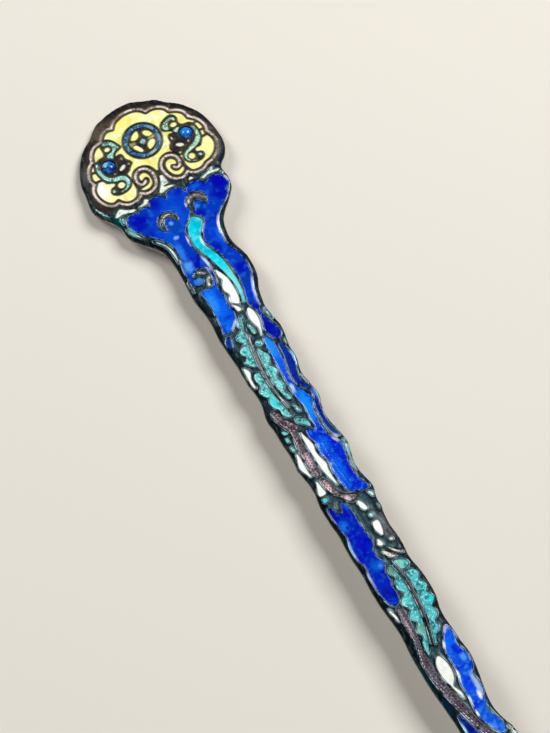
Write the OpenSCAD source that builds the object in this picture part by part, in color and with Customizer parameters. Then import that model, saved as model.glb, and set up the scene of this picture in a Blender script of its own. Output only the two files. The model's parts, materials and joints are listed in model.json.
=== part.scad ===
// Enamelled silver hairpin with a lobed head, a wavy blade and two prongs.
// Places on the pin are given as [x, s]: x across, s along the pin from the top of the head.

/* [Pin] */
// Length of the pin from the top of the head to the prong tips
pin_length = 174; // [166:1:190]
// Height of the arch under the back, at its highest place
arch_rise = 3.7; // [2:0.1:6]
// Distance of the arch's highest place from the top of the head
arch_place = 110; // [100:1:116]

/* [Section] */
// Thickness of the silver plate under the enamel
plate_t = 0.9; // [0.7:0.05:1.4]
// Height of the raised walls above the plate
wall_h = 0.45; // [0.3:0.05:0.7]
// How far the enamel stays below the top of the walls
enamel_drop = 0.06; // [0.02:0.01:0.12]
// Fitting gap round each enamel piece
fit_gap = 0.04; // [0.03:0.01:0.06]

/* [Prongs] */
// Distance of the fork from the top of the head
fork_place = 121; // [119:0.5:124]
// Width of each prong at the fork
prong_w = 1.8; // [1.5:0.1:2]
// Width of each prong near its tip
prong_tip_w = 1.1; // [0.8:0.1:1.4]
// Distance between the prongs' centre lines below the fork
prong_spread = 6.4; // [6.2:0.1:7]

/* [Hidden] */
part_t = plate_t + wall_h;
enamel_top = part_t - enamel_drop;
profile_step = 6;
above = 1;

// Outer edge of the head, one row a point: [x, s], clockwise from the neck on the left.
head_edge = [
    [-9.3, 18.6], [-9.9, 17.4], [-10.7, 16.2], [-11.5, 15.0], [-11.9, 13.8], [-11.8, 12.4],
    [-11.6, 11.0], [-11.5, 9.6], [-11.15, 8.3], [-10.6, 7.0], [-9.9, 5.7], [-9.0, 4.5],
    [-8.0, 3.6], [-7.0, 2.95], [-6.0, 1.95], [-5.0, 1.1], [-3.9, 0.7], [-2.7, 0.3], [-1.3, 0.05],
    [0.1, 0], [1.4, 0.1], [2.6, 0.65], [3.8, 1.1], [5.0, 1.6], [6.0, 2.6], [7.0, 3.3],
    [8.0, 4.15], [8.8, 5.2], [9.5, 6.2], [10.0, 7.2], [10.35, 8.4], [10.6, 9.8], [10.75, 11.3],
    [10.75, 12.7], [10.4, 14.0], [9.7, 15.1], [8.8, 15.9], [8.35, 16.6], [8.4, 17.4]];

// Outer edges of the blade: [s, left, right].
blade_edge = [
    [18.6, -9.3, 8.55], [20.0, -9.2, 8.3], [21.0, -8.8, 7.6], [22.0, -8.05, 6.7],
    [23.0, -7.15, 5.7], [24.0, -6.3, 4.85], [25.0, -5.7, 4.4], [26.2, -5.35, 4.15],
    [27.5, -5.2, 4.05], [28.8, -5.15, 4.25], [30.0, -5.15, 4.65], [31.2, -5.2, 4.95],
    [32.6, -5.25, 5.0], [34.0, -5.25, 4.9], [35.3, -5.1, 4.55], [36.6, -4.85, 3.95],
    [38.0, -4.75, 3.65], [39.3, -4.8, 3.45], [40.4, -4.9, 3.45], [41.6, -4.9, 3.7],
    [43.0, -4.8, 4.0], [44.2, -4.7, 3.95], [45.4, -4.6, 3.75], [46.6, -4.55, 3.55],
    [48.0, -4.55, 3.65], [49.2, -4.5, 3.5], [50.6, -4.3, 3.15], [52.0, -4.2, 3.15],
    [53.2, -4.35, 3.45], [54.4, -4.65, 3.7], [55.4, -4.75, 3.7], [56.6, -4.55, 3.25],
    [58.0, -4.5, 3.05], [59.6, -4.45, 3.2], [61.0, -4.3, 3.5], [62.4, -4.35, 3.8],
    [63.6, -4.45, 3.8], [65.0, -4.2, 3.4], [66.4, -3.95, 3.15], [67.8, -3.95, 3.25],
    [69.2, -4.2, 3.6], [70.5, -4.25, 3.85], [71.8, -4.2, 3.45], [73.2, -4.1, 3.35],
    [74.8, -3.9, 3.2], [76.4, -4.0, 3.1], [78.0, -4.0, 3.3], [79.6, -3.85, 3.35],
    [81.2, -3.8, 3.2], [82.6, -3.85, 3.35], [84.0, -3.85, 3.65], [86.0, -3.75, 3.8],
    [88.0, -3.5, 3.75], [89.6, -3.3, 3.35], [91.2, -3.3, 3.25], [93.0, -3.4, 3.45],
    [95.0, -3.45, 3.55], [97.0, -3.4, 3.85], [99.0, -3.3, 3.65], [101.0, -3.1, 3.3],
    [103.0, -2.9, 2.95], [105.0, -2.75, 2.9], [107.0, -2.75, 3.45], [108.8, -2.95, 4.02],
    [110.6, -3.35, 4.1], [112.4, -3.6, 3.75], [114.2, -3.75, 3.65], [116.0, -3.85, 3.9],
    [118.0, -3.9, 4.0],
    [fork_place, -prong_spread / 2 - prong_w / 2, prong_spread / 2 + prong_w / 2]];

// Route of the right prong: [s, distance of its centre line from the middle, width].
prong_route = [
    [fork_place - 2.6, prong_spread / 2 - 0.9, prong_w + 0.6],
    [fork_place + 1.5, prong_spread / 2, prong_w],
    [fork_place + 12, prong_spread / 2 + 0.35, prong_w - 0.05],
    [fork_place + 26, prong_spread / 2 + 0.6, prong_w - 0.15],
    [pin_length - 12, prong_spread / 2 + 0.6, prong_tip_w + 0.3],
    [pin_length - 3, prong_spread / 2 + 0.45, prong_tip_w],
    [pin_length - 0.8, prong_spread / 2 + 0.4, prong_tip_w * 0.75],
    [pin_length, prong_spread / 2 + 0.4, prong_tip_w * 0.3]];

// Curve helpers.
function mix(a, b, t) = a + (b - a) * t;
function column(rows, i) = [for (r = rows) r[i]];

// A point of a cubic curve through p1 and p2 at t, steered by p0 and p3.
function curve_at(p0, p1, p2, p3, t) =
    0.5 * (2 * p1 + (p2 - p0) * t + (2 * p0 - 5 * p1 + 4 * p2 - p3) * t * t
        + (3 * p1 - p0 - 3 * p2 + p3) * t * t * t);

// A smooth open line through points, with the given number of steps between two of them.
function smooth(points, steps = 2) =
    let (n = len(points))
    concat(
        [for (i = [0 : n - 2], k = [0 : steps - 1])
            curve_at(points[max(i - 1, 0)], points[i], points[i + 1], points[min(i + 2, n - 1)],
                k / steps)],
        [points[n - 1]]);

// A smooth closed line through points.
function smooth_loop(points, steps = 2) =
    let (n = len(points))
    [for (i = [0 : n - 1], k = [0 : steps - 1])
        curve_at(points[(i + n - 1) % n], points[i], points[(i + 1) % n], points[(i + 2) % n],
            k / steps)];

// A line of smooth pieces, each of which goes on from the corner where the last one ended.
function cornered(pieces, steps = 2) =
    [for (i = [0 : len(pieces) - 1])
        let (
            corner = i == 0 ? [] : [pieces[i - 1][len(pieces[i - 1]) - 1]],
            line = smooth(concat(corner, pieces[i]), steps))
        for (k = [i == 0 ? 0 : 1 : len(line) - 1]) line[k]];

function reversed(points) = [for (i = [len(points) - 1 : -1 : 0]) points[i]];

// The outline of a cell that runs along the pin, from rows of [s, left, right].
function strip(rows, steps = 2) =
    concat(
        smooth([for (r = rows) [r[1], r[0]]], steps),
        reversed(smooth([for (r = rows) [r[2], r[0]]], steps)));

function unit(v) = v / max(norm(v), 0.000001);
function side_of(v) = [v[1], -v[0]];

// The outline of a line of changing width along a path, from rows of [x, s, width].
function ribbon(rows, steps = 2) =
    let (
        line = smooth(rows, steps),
        n = len(line),
        at = [for (r = line) [r[0], r[1]]],
        sides = [for (i = [0 : n - 1]) side_of(unit(at[min(i + 1, n - 1)] - at[max(i - 1, 0)]))])
    concat(
        [for (i = [0 : n - 1]) at[i] + sides[i] * line[i][2] / 2],
        [for (i = [n - 1 : -1 : 0]) at[i] - sides[i] * line[i][2] / 2]);

function ellipse(x, s, rx, rs, turn = 0, count = 16) =
    [for (k = [0 : count - 1])
        let (a = 360 * k / count, u = rx * cos(a), v = rs * sin(a))
        [x + u * cos(turn) - v * sin(turn), s + u * sin(turn) + v * cos(turn)]];

// Twice the signed area, which tells the way a loop turns.
function turning(loop) =
    let (n = len(loop))
    [for (i = 0, a = 0; i <= n; i = i + 1,
        a = a + (i > n ? 0 : loop[(i - 1) % n][0] * loop[i % n][1] - loop[i % n][0] * loop[(i - 1) % n][1]))
        a][n];

// The loop moved inwards by d, each corner along the mean of its two sides' normals.
function inset(loop, d) =
    let (n = len(loop), turn = turning(loop) > 0 ? 1 : -1)
    [for (i = [0 : n - 1])
        let (
            before = side_of(unit(loop[i] - loop[(i + n - 1) % n])),
            after = side_of(unit(loop[(i + 1) % n] - loop[i])),
            middle = unit(before + after),
            reach = min(1 / max(middle * after, 0.3), 1.6))
        loop[i] - middle * d * turn * reach];

// Outline of the head and blade.
body_outline = concat(
    smooth(head_edge),
    smooth([for (r = blade_edge) [r[2], r[0]]]),
    reversed(smooth([for (r = blade_edge) [r[1], r[0]]])));

// The pin's frame: the middle of its box is the origin.
x_middle = (min(column(body_outline, 0)) + max(column(body_outline, 0))) / 2;
s_middle = pin_length / 2;
function place(points) = [for (p = points) [p[0] - x_middle, s_middle - p[1]]];

// Height of the back at s: two half parabolas that meet at the arch's highest place.
function back_z(s) =
    let (reach = s < arch_place ? arch_place : pin_length - arch_place)
    arch_rise * (1 - pow((s - arch_place) / reach, 2));
profile_s = concat([for (s = [0 : profile_step : pin_length - 1]) s], [pin_length]);

// A curved sheet as wide as the pin, between two heights above the back.
module sheet(low, high) {
    lower = [for (s = profile_s) [s_middle - s, back_z(s) + low]];
    upper = [for (s = reversed(profile_s)) [s_middle - s, back_z(s) + high]];
    translate([-20, 0, 0]) rotate([90, 0, 90]) linear_extrude(40) polygon(concat(lower, upper));
}

// The loops cut out of the curved sheet between two heights.
module layer(low, high) {
    intersection() {
        sheet(low, high);
        translate([0, 0, -1]) linear_extrude(arch_rise + part_t + 4) children();
    }
}

module loops(list) {
    for (loop = list) polygon(place(loop));
}

// Enamel cells: the loops, smaller by the fitting gap, on the plate.
module enamel(list) {
    layer(plate_t, enamel_top) loops([for (loop = list) inset(loop, fit_gap)]);
}

// Lobed line round the head, from the left scroll's inner end to the right one's: the scrolls,
// and between them one list a lobe of [x, s], which goes on from the corner before it.
left_scroll = [
    [-2.55, 13.25], [-2.95, 13.65], [-3.45, 13.75], [-3.82, 13.35], [-3.9, 12.6], [-3.65, 11.9],
    [-3.15, 11.45], [-2.55, 11.3], [-1.95, 11.5], [-1.45, 12.0], [-1.15, 12.8], [-1.2, 13.7],
    [-1.45, 14.5], [-1.95, 15.05], [-2.6, 15.35], [-3.3, 15.4], [-3.85, 15.2], [-4.25, 14.85]];
border_lobes = [
    [[-4.25, 14.85], [-4.65, 15.4], [-5.4, 15.72], [-6.2, 15.78], [-6.9, 15.58], [-7.4, 15.15],
    [-7.78, 14.66]],
    [[-8.4, 14.85], [-9.0, 14.65], [-9.6, 14.15], [-10.1, 13.3], [-10.35, 12.4], [-10.35, 11.5],
     [-10.1, 10.8], [-9.68, 10.3]],
    [[-9.95, 9.5], [-9.8, 8.7], [-9.45, 7.8], [-9.0, 7.2], [-8.4, 6.82]],
    [[-8.15, 6.0], [-7.75, 5.3], [-7.1, 4.7], [-6.4, 4.45], [-5.75, 4.42]],
    [[-5.3, 3.6], [-4.7, 3.1], [-4.0, 2.85], [-3.25, 3.0]],
    [[-2.7, 2.3], [-1.9, 1.9], [-0.9, 1.6], [0.1, 1.55], [1.1, 1.7], [2.0, 2.15], [2.62, 2.88]],
    [[3.4, 2.8], [4.2, 2.95], [5.0, 3.35], [5.55, 3.9], [5.82, 4.55]],
    [[6.6, 4.85], [7.3, 5.35], [7.75, 6.0], [7.9, 6.88]],
    [[8.6, 7.5], [9.05, 8.2], [9.35, 9.0], [9.4, 9.7], [9.2, 10.35]],
    [[9.55, 11.2], [9.75, 12.1], [9.65, 12.9], [9.25, 13.7], [8.6, 14.45], [7.8, 14.95],
     [7.2, 15.15], [6.65, 15.25]],
    [[6.0, 15.68], [5.2, 15.82], [4.4, 15.72], [3.85, 15.4], [3.5, 15.0]]];
right_scroll = [
    [2.95, 15.45], [2.3, 15.55], [1.6, 15.35], [1.0, 14.9], [0.6, 14.2], [0.4, 13.4],
    [0.38, 12.6], [0.65, 11.9], [1.15, 11.4], [1.9, 11.2], [2.6, 11.4], [3.1, 11.9], [3.3, 12.6],
    [3.15, 13.2], [2.75, 13.65], [2.3, 13.65], [2.05, 13.3]];
border_w = 0.42;
border_wall = 0.28;
line_lap = 0.12;
// One ribbon for each scroll and lobe, which runs on a little past its corners.
function border_cells(w) =
    let (pieces = concat([left_scroll], border_lobes, [right_scroll]))
    [for (i = [0 : len(pieces) - 1])
        let (
            last = i < 2 ? [] : [pieces[i - 1][len(pieces[i - 1]) - 1]],
            points = concat(last, pieces[i]),
            n = len(points),
            before = points[0] - unit(points[1] - points[0]) * (i == 0 ? 0 : line_lap),
            after = points[n - 1] + unit(points[n - 1] - points[n - 2]) * line_lap,
            route = [for (k = [0 : n - 1]) k == 0 ? before : k == n - 1 ? after : points[k]])
        ribbon([for (q = route) [q[0], q[1], w]])];
// The ground lies inside the lobes, and round the tops of the scrolls at its lower end.
lobes_route = cornered(border_lobes);
lobes_inside = inset(lobes_route, border_w / 2 + border_wall);
scroll_tops = smooth([
    [3.8, 14.0], [3.82, 13.2], [3.75, 12.3], [3.4, 11.4], [2.75, 10.85], [1.95, 10.7], [1.15, 10.9],
    [0.5, 11.4], [0.05, 12.1], [-0.2, 12.7], [-0.5, 12.7], [-0.7, 12.1], [-1.1, 11.4], [-1.8, 10.95],
    [-2.55, 10.8], [-3.35, 10.95], [-3.95, 11.4], [-4.35, 12.2], [-4.45, 13.0], [-4.4, 13.9]]);
ground_ends = 2;
head_field = concat([for (i = [ground_ends : len(lobes_inside) - 1 - ground_ends]) lobes_inside[i]],
    scroll_tops);
// Ground inside each scroll.
scroll_ground = [
    smooth_loop([
        [-2.75, 11.98], [-2.2, 12.1], [-1.85, 12.6], [-1.75, 13.3], [-1.85, 14.0], [-2.25, 14.55],
        [-2.9, 14.8], [-3.6, 14.7], [-4.0, 14.35], [-3.6, 14.25], [-2.9, 14.15], [-2.25, 13.85],
        [-2.05, 13.3], [-2.35, 12.85], [-2.8, 12.95], [-3.15, 13.2], [-3.35, 12.9], [-3.25, 12.3]]),
    smooth_loop([
        [2.1, 11.85], [2.6, 12.2], [2.8, 12.7], [2.6, 13.1], [2.3, 13.05], [1.9, 12.85], [1.6, 13.1],
        [1.7, 13.7], [2.1, 14.15], [2.7, 14.15], [3.25, 13.9], [3.4, 14.2], [2.95, 14.75], [2.3, 14.95],
        [1.65, 14.65], [1.2, 14.0], [1.0, 13.2], [1.1, 12.4], [1.5, 11.95]])];

// Coin between the bats: radii of its disc and of its ring, the light square in its middle and its quarters.
coin_at = [-0.05, 7.12];
coin_r = 3.12;
coin_ring_r = 2.84;
coin_ring_inner = 2.2;
star_cells = [[
    [-0.66, 7.27], [-0.3, 7.04], [0.02, 6.74], [0.22, 7.02], [0.5, 7.25], [0.18, 7.55], [-0.14, 7.92],
    [-0.38, 7.58]]];
quarter_cells = [
    smooth_loop([
        [-0.55, 5.28], [-0.08, 5.2], [-0.02, 5.6], [-0.15, 6.15], [-0.55, 6.56], [-1.0, 6.66],
        [-1.4, 6.52], [-1.64, 6.36], [-1.38, 5.88], [-1.0, 5.52]]),
    smooth_loop([
        [0.54, 5.76], [0.95, 5.66], [1.44, 5.92], [1.7, 6.32], [1.85, 6.82], [1.46, 7.0], [0.9, 6.9],
        [0.58, 6.5], [0.45, 6.1]]),
    smooth_loop([
        [-1.88, 7.5], [-1.7, 7.3], [-1.22, 7.36], [-0.92, 7.78], [-0.62, 8.35], [-0.56, 8.72],
        [-0.8, 8.94], [-1.2, 8.75], [-1.56, 8.26], [-1.82, 7.88]]),
    smooth_loop([
        [0.42, 7.9], [0.83, 7.58], [1.26, 7.42], [1.7, 7.7], [1.68, 8.05], [1.46, 8.46], [1.06, 8.8],
        [0.5, 9.06], [0.22, 8.98], [0.18, 8.65], [0.22, 8.2]])];

// Left bat: its whole shape with its walls, then its cells.
left_bat_shape = smooth_loop([
    [-5.6, 4.35], [-5.0, 4.25], [-4.4, 4.55], [-3.85, 5.2], [-3.55, 5.9], [-3.25, 6.5], [-3.8, 6.8],
    [-4.5, 7.05], [-4.85, 7.55], [-4.5, 7.55], [-4.1, 7.5], [-3.75, 7.8], [-3.7, 8.6], [-3.3, 9.1],
    [-3.0, 9.7], [-3.5, 10.1], [-4.0, 10.75], [-4.6, 11.0], [-4.45, 11.6], [-4.4, 12.2], [-4.65, 12.9],
    [-5.3, 13.45], [-6.2, 13.7], [-7.2, 13.65], [-7.9, 13.2], [-8.05, 12.6], [-7.7, 12.1],
    [-7.1, 12.0], [-6.85, 11.6], [-7.3, 11.3], [-7.95, 11.05], [-8.25, 10.3], [-8.55, 9.4], [-8.65, 8.4],
    [-8.4, 7.45], [-7.75, 7.05], [-7.1, 6.8], [-6.4, 6.75], [-6.15, 6.1], [-6.2, 5.3], [-6.0, 4.7]]);
left_wing_cells = [
    smooth_loop([
        [-5.85, 5.0], [-5.4, 4.65], [-4.8, 4.7], [-4.25, 5.1], [-3.95, 5.7], [-3.65, 6.4], [-4.2, 6.55],
        [-4.8, 6.9], [-5.08, 7.35], [-5.25, 7.78], [-5.7, 7.5], [-6.0, 7.1], [-5.75, 6.75], [-5.0, 6.6],
        [-4.6, 6.2], [-4.55, 5.7], [-4.85, 5.3], [-5.4, 5.2]]),
    ribbon([
        [-7.78, 7.35, 0.34], [-8.03, 8.0, 0.48], [-8.08, 8.8, 0.54], [-7.96, 9.6, 0.56],
        [-7.6, 10.35, 0.6], [-7.02, 10.82, 0.64], [-6.3, 11.05, 0.7], [-5.65, 11.18, 0.74],
        [-5.12, 11.6, 0.7], [-4.97, 12.2, 0.56], [-5.25, 12.8, 0.4], [-5.9, 13.22, 0.28],
        [-6.7, 13.32, 0.18]]),
    ellipse(-7.55, 12.7, 0.27, 0.33, 20, 14)];
left_bat_ground = [ellipse(-5.4, 5.95, 0.5, 0.42), ellipse(-6.15, 12.3, 0.6, 0.57)];
left_bat_spots = [
    ellipse(-4.72, 9.78, 0.66, 0.3, -30), ellipse(-4.2, 8.3, 0.15, 0.32, 0, 12),
    ellipse(-6.15, 10.15, 0.16, 0.14, 0, 10), ellipse(-3.6, 9.65, 0.16, 0.24, -40, 10)];
left_dome_at = [-6.5, 8.65];
left_dome_r = 1.1;

// Right bat, which is drawn a little smaller.
right_bat_shape = smooth_loop([
    [3.2, 7.1], [3.25, 6.5], [3.5, 5.95], [4.1, 5.6], [4.8, 5.3], [5.5, 5.2], [6.05, 5.6], [6.25, 6.2],
    [6.05, 6.8], [6.2, 7.4], [6.7, 7.65], [7.35, 7.68], [7.88, 8.05], [8.18, 8.8], [8.28, 9.6],
    [8.26, 10.3], [8.05, 11.05], [7.6, 11.7], [7.2, 12.15], [6.75, 12.1], [6.25, 12.2],
    [6.2, 12.75], [6.6, 12.85], [7.05, 13.1], [7.15, 13.6], [6.85, 14.1], [6.1, 14.35], [5.2, 14.25],
    [4.45, 13.9], [4.05, 13.3], [4.0, 12.6], [4.2, 12.2], [3.8, 12.1], [3.5, 11.5], [3.1, 11.0],
    [2.9, 10.5], [3.1, 9.9], [3.5, 9.5], [3.5, 8.9], [3.65, 8.3], [4.0, 8.1], [4.4, 8.2], [4.6, 8.15],
    [4.35, 7.75], [3.7, 7.5]]);
right_wing_cells = [
    smooth_loop([
        [3.58, 7.1], [3.6, 6.55], [3.9, 6.15], [4.45, 5.87], [5.05, 5.68], [5.6, 5.7], [5.9, 6.05],
        [5.8, 6.5], [5.55, 6.5], [5.45, 6.2], [5.05, 6.1], [4.65, 6.3], [4.4, 6.7], [4.35, 7.2],
        [4.3, 7.42], [3.9, 7.38]]),
    smooth_loop([
        [4.75, 7.86], [5.2, 7.68], [5.85, 7.7], [5.75, 7.86], [5.4, 8.12], [5.12, 8.5], [4.95, 8.3]]),
    ribbon([
        [7.57, 8.45, 0.34], [7.78, 9.2, 0.44], [7.79, 9.9, 0.5], [7.54, 10.62, 0.66],
        [7.04, 11.2, 0.72], [6.3, 11.62, 0.68], [5.5, 11.9, 0.54], [4.8, 12.2, 0.46],
        [4.38, 12.8, 0.34], [4.5, 13.4, 0.28], [5.0, 13.85, 0.2], [5.7, 14.08, 0.14]]),
    ellipse(6.52, 13.42, 0.34, 0.24, 45, 14)];
right_bat_ground = [
    ellipse(5.25, 7.02, 0.58, 0.45), ellipse(5.27, 13.08, 0.56, 0.58),
    ellipse(4.0, 11.7, 0.26, 0.2, -30, 12)];
right_bat_spots = [
    ellipse(4.55, 10.52, 0.66, 0.32, 28), ellipse(3.97, 8.95, 0.15, 0.34, -8, 12),
    ellipse(5.95, 10.55, 0.13, 0.27, 20, 12)];
right_dome_at = [6.25, 9.1];
right_dome_r = 1.05;

// Short walls that part the ground beside the bats: [x, s, width].
ground_walls = [
    ribbon([[-9.9, 8.5, 0.3], [-9.1, 8.45, 0.3], [-8.3, 8.6, 0.3]]),
    ribbon([[-9.8, 10.3, 0.34], [-9.0, 10.1, 0.34], [-8.1, 10.2, 0.34]]),
    ribbon([[7.9, 8.3, 0.26], [8.5, 8.2, 0.26], [9.1, 8.25, 0.26]]),
    ribbon([[7.9, 9.8, 0.3], [8.7, 9.75, 0.3], [9.4, 9.9, 0.3]]),
    ribbon([[7.8, 10.95, 0.3], [8.6, 10.85, 0.3], [9.4, 10.9, 0.3]])];

// White cells between the head and the blade, with the pointed figure in the middle.
collar_cells = [
    smooth_loop([
        [-9.42, 16.76], [-8.95, 16.2], [-8.55, 15.86], [-8.18, 15.72], [-7.7, 16.08], [-7.2, 16.4],
        [-6.7, 16.62], [-6.12, 16.8], [-6.45, 17.16], [-7.1, 17.0], [-7.8, 16.82], [-8.3, 16.72],
        [-8.9, 16.86]]),
    smooth_loop([
        [-5.8, 16.76], [-5.2, 16.68], [-4.68, 16.52], [-4.28, 16.0], [-4.0, 16.2], [-3.65, 16.36],
        [-4.0, 16.68], [-4.38, 17.0], [-4.9, 16.98], [-5.45, 16.92]]),
    [[-0.52, 13.66], [-0.25, 13.62], [0.04, 13.85], [0.08, 14.5], [0.2, 15.2], [0.08, 15.4],
     [-0.7, 15.4], [-0.82, 15.52], [-0.66, 15.66], [-0.1, 15.72], [0.4, 15.84], [0.78, 16.14],
     [0.6, 16.24], [0.1, 16.14], [-0.6, 16.2], [-1.2, 16.4], [-1.84, 16.34], [-1.52, 15.74],
     [-1.04, 15.12], [-0.74, 14.55], [-0.62, 14.0]],
    [[2.85, 16.42], [3.16, 16.2], [3.42, 15.94], [3.6, 16.18], [3.86, 16.46], [3.4, 16.52]],
    smooth_loop([
        [4.75, 17.02], [5.4, 16.74], [6.05, 16.56], [6.55, 16.2], [7.0, 15.94], [7.14, 16.16],
        [6.82, 16.6], [7.3, 16.74], [7.84, 16.8], [7.72, 17.08], [7.3, 17.2], [6.6, 17.0], [5.9, 17.0],
        [5.3, 17.2], [4.86, 17.2]])];

// Upper field of the blade: lobes along its top [x, s, rx, rs], then two strips [s, left, right].
upper_lobes = [
    [-6.85, 18.75, 1.5, 1.35], [-5.1, 18.5, 1.1, 1.3], [-2.8, 18.2, 1.55, 1.75],
    [0.1, 18.3, 1.75, 1.8], [3.25, 18.5, 1.7, 1.65], [6.35, 19.1, 1.75, 1.7]];
upper_left_strip = [
    [18.0, -7.6, 1.2], [19.0, -8.3, 1.2], [19.9, -8.1, 1.2], [20.5, -7.4, 1.2], [21.3, -6.85, 0.6],
    [22.2, -6.1, -0.1], [23.0, -5.25, -0.95], [23.8, -4.6, -1.35], [24.6, -4.15, -1.55],
    [25.6, -3.97, -1.62], [26.6, -3.95, -1.55], [27.6, -4.1, -1.38], [28.6, -4.38, -1.08],
    [29.6, -4.5, -0.85], [30.6, -4.5, -0.7], [31.6, -4.4, -0.82], [32.6, -4.2, -0.98],
    [33.6, -4.0, -1.3], [34.6, -3.85, -1.32], [35.5, -3.65, -1.12], [36.4, -3.6, -1.34],
    [37.4, -3.65, -1.28], [38.4, -3.7, -0.98], [39.1, -3.75, -1.2], [39.9, -3.85, -1.75],
    [40.5, -3.95, -2.35], [40.9, -3.9, -2.9]];
upper_right_strip = [
    [18.0, 1.0, 7.6], [19.0, 1.0, 8.05], [19.8, 1.0, 7.9], [20.9, 1.0, 7.2], [21.6, 1.1, 6.55],
    [22.3, 1.75, 5.6], [23.1, 2.05, 4.6], [23.8, 1.75, 4.0], [24.6, 1.15, 3.55], [25.5, 0.68, 3.3],
    [26.4, 0.52, 3.15], [27.4, 0.72, 3.05], [28.4, 1.15, 3.12], [29.4, 1.58, 3.48], [30.4, 1.85, 4.0],
    [31.6, 2.02, 4.22], [33.0, 2.1, 4.22], [34.2, 2.08, 4.02], [35.2, 1.96, 3.6], [36.4, 1.72, 3.12],
    [37.5, 1.45, 2.85], [38.3, 1.42, 2.7], [39.2, 1.72, 2.62], [40.0, 1.9, 2.35], [40.9, 1.9, 2.45],
    [41.8, 1.75, 2.75], [42.6, 1.5, 3.1], [43.4, 1.45, 3.42], [44.1, 1.75, 3.45], [44.7, 2.1, 3.2],
    [45.1, 2.45, 2.8]];
upper_field_loops = concat(
    [strip(upper_left_strip), strip(upper_right_strip)],
    [for (r = upper_lobes) ellipse(r[0], r[1], r[2], r[3], 0, 20)]);
// Raised dark shapes that stand in the upper field, walls and all.
left_crescent_shape = smooth_loop([
    [-3.7, 22.4], [-4.3, 21.9], [-4.5, 21.1], [-4.25, 20.2], [-3.6, 19.55], [-2.8, 19.3], [-1.9, 19.55],
    [-1.3, 20.2], [-1.1, 21.0], [-1.35, 21.65], [-1.8, 21.5], [-2.0, 20.95], [-2.4, 20.5], [-2.9, 20.45],
    [-3.3, 20.85], [-3.42, 21.5], [-3.35, 22.1]]);
left_crescent_cells = [ribbon([
    [-4.0, 21.25, 0.14], [-3.75, 20.7, 0.28], [-3.3, 20.2, 0.34], [-2.7, 19.92, 0.42],
    [-2.15, 19.98, 0.32], [-1.72, 20.35, 0.16]])];
right_crescent_shape = smooth_loop([
    [1.3, 21.35], [0.9, 20.8], [0.75, 20.0], [0.95, 19.1], [1.5, 18.55], [2.3, 18.3], [3.2, 18.5],
    [3.85, 19.1], [4.1, 19.9], [3.95, 20.7], [3.55, 21.25], [3.15, 20.9], [2.9, 20.25], [2.35, 19.9],
    [1.9, 20.1], [1.65, 20.7], [1.62, 21.2]]);
right_crescent_cells = [ribbon([
    [1.12, 20.05, 0.16], [1.3, 19.5, 0.34], [1.75, 19.1, 0.44], [2.4, 18.98, 0.54],
    [3.02, 19.2, 0.58], [3.48, 19.75, 0.46], [3.68, 20.15, 0.18]])];
upper_swirl_shape = smooth_loop([
    [-2.6, 29.85], [-1.9, 29.95], [-1.35, 30.4], [-1.18, 31.2], [-1.18, 32.0], [-1.45, 32.6],
    [-1.62, 33.2], [-2.1, 33.55], [-2.65, 33.4], [-3.1, 33.15], [-3.8, 33.35], [-4.9, 33.3],
    [-4.9, 32.1], [-4.2, 32.1], [-3.5, 32.3], [-2.9, 32.25], [-2.55, 31.8], [-2.75, 31.3],
    [-3.2, 31.15], [-3.7, 31.2], [-3.75, 30.5], [-3.3, 30.1]]);
upper_swirl_cells = [
    ribbon([[-2.85, 30.42, 0.2], [-2.62, 30.5, 0.3], [-2.35, 30.7, 0.2], [-2.1, 30.92, 0.26],
        [-1.92, 31.02, 0.14]]),
    ribbon([[-1.5, 31.72, 0.2], [-1.72, 31.85, 0.32], [-1.98, 32.1, 0.2], [-2.12, 32.5, 0.22],
        [-2.22, 32.85, 0.42], [-2.22, 33.15, 0.26]])];

// Bright band that winds down the upper field, and the white cloud beside it.
cyan_band_strip = [
    [22.05, 0.35, 0.85], [22.5, -0.05, 1.4], [23.1, -0.6, 1.72], [23.8, -0.95, 1.4], [24.5, -1.1, 0.8],
    [25.3, -1.2, 0.3], [26.2, -1.18, 0.08], [27.0, -1.02, 0.22], [28.0, -0.7, 0.65], [29.0, -0.3, 1.02],
    [30.2, 0.08, 1.38], [31.5, 0.43, 1.6], [32.8, 0.76, 1.7], [34.0, 1.0, 1.74], [35.3, 1.06, 1.68],
    [36.4, 1.0, 1.5], [37.2, 0.82, 1.3], [37.75, 0.7, 1.15]];
white_cloud_cells = [
    strip([
        [31.2, -0.42, -0.3], [31.9, -0.48, 0.1], [32.6, -0.42, 0.4], [33.1, -0.16, 0.58],
        [33.6, -0.5, 0.68], [34.2, -0.78, 0.72], [34.9, -0.76, 0.74], [35.45, -0.42, 0.74],
        [35.9, -0.4, 0.72], [36.4, -0.66, 0.68], [36.9, -0.72, 0.56], [37.3, -0.3, 0.4],
        [37.6, 0.1, 0.26]]),
    strip([[37.3, -0.8, -0.68], [37.75, -0.74, -0.25], [38.2, -0.64, 0.05], [38.65, -0.58, 0.08]]),
    strip([
        [38.75, 0.85, 1.12], [39.3, 0.58, 1.42], [40.0, 0.42, 1.58], [40.8, 0.4, 1.58], [41.5, 0.6, 1.48],
        [42.1, 0.8, 1.3], [42.7, 0.84, 1.12], [43.2, 0.62, 0.92], [43.6, 0.44, 0.7]])];

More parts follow.
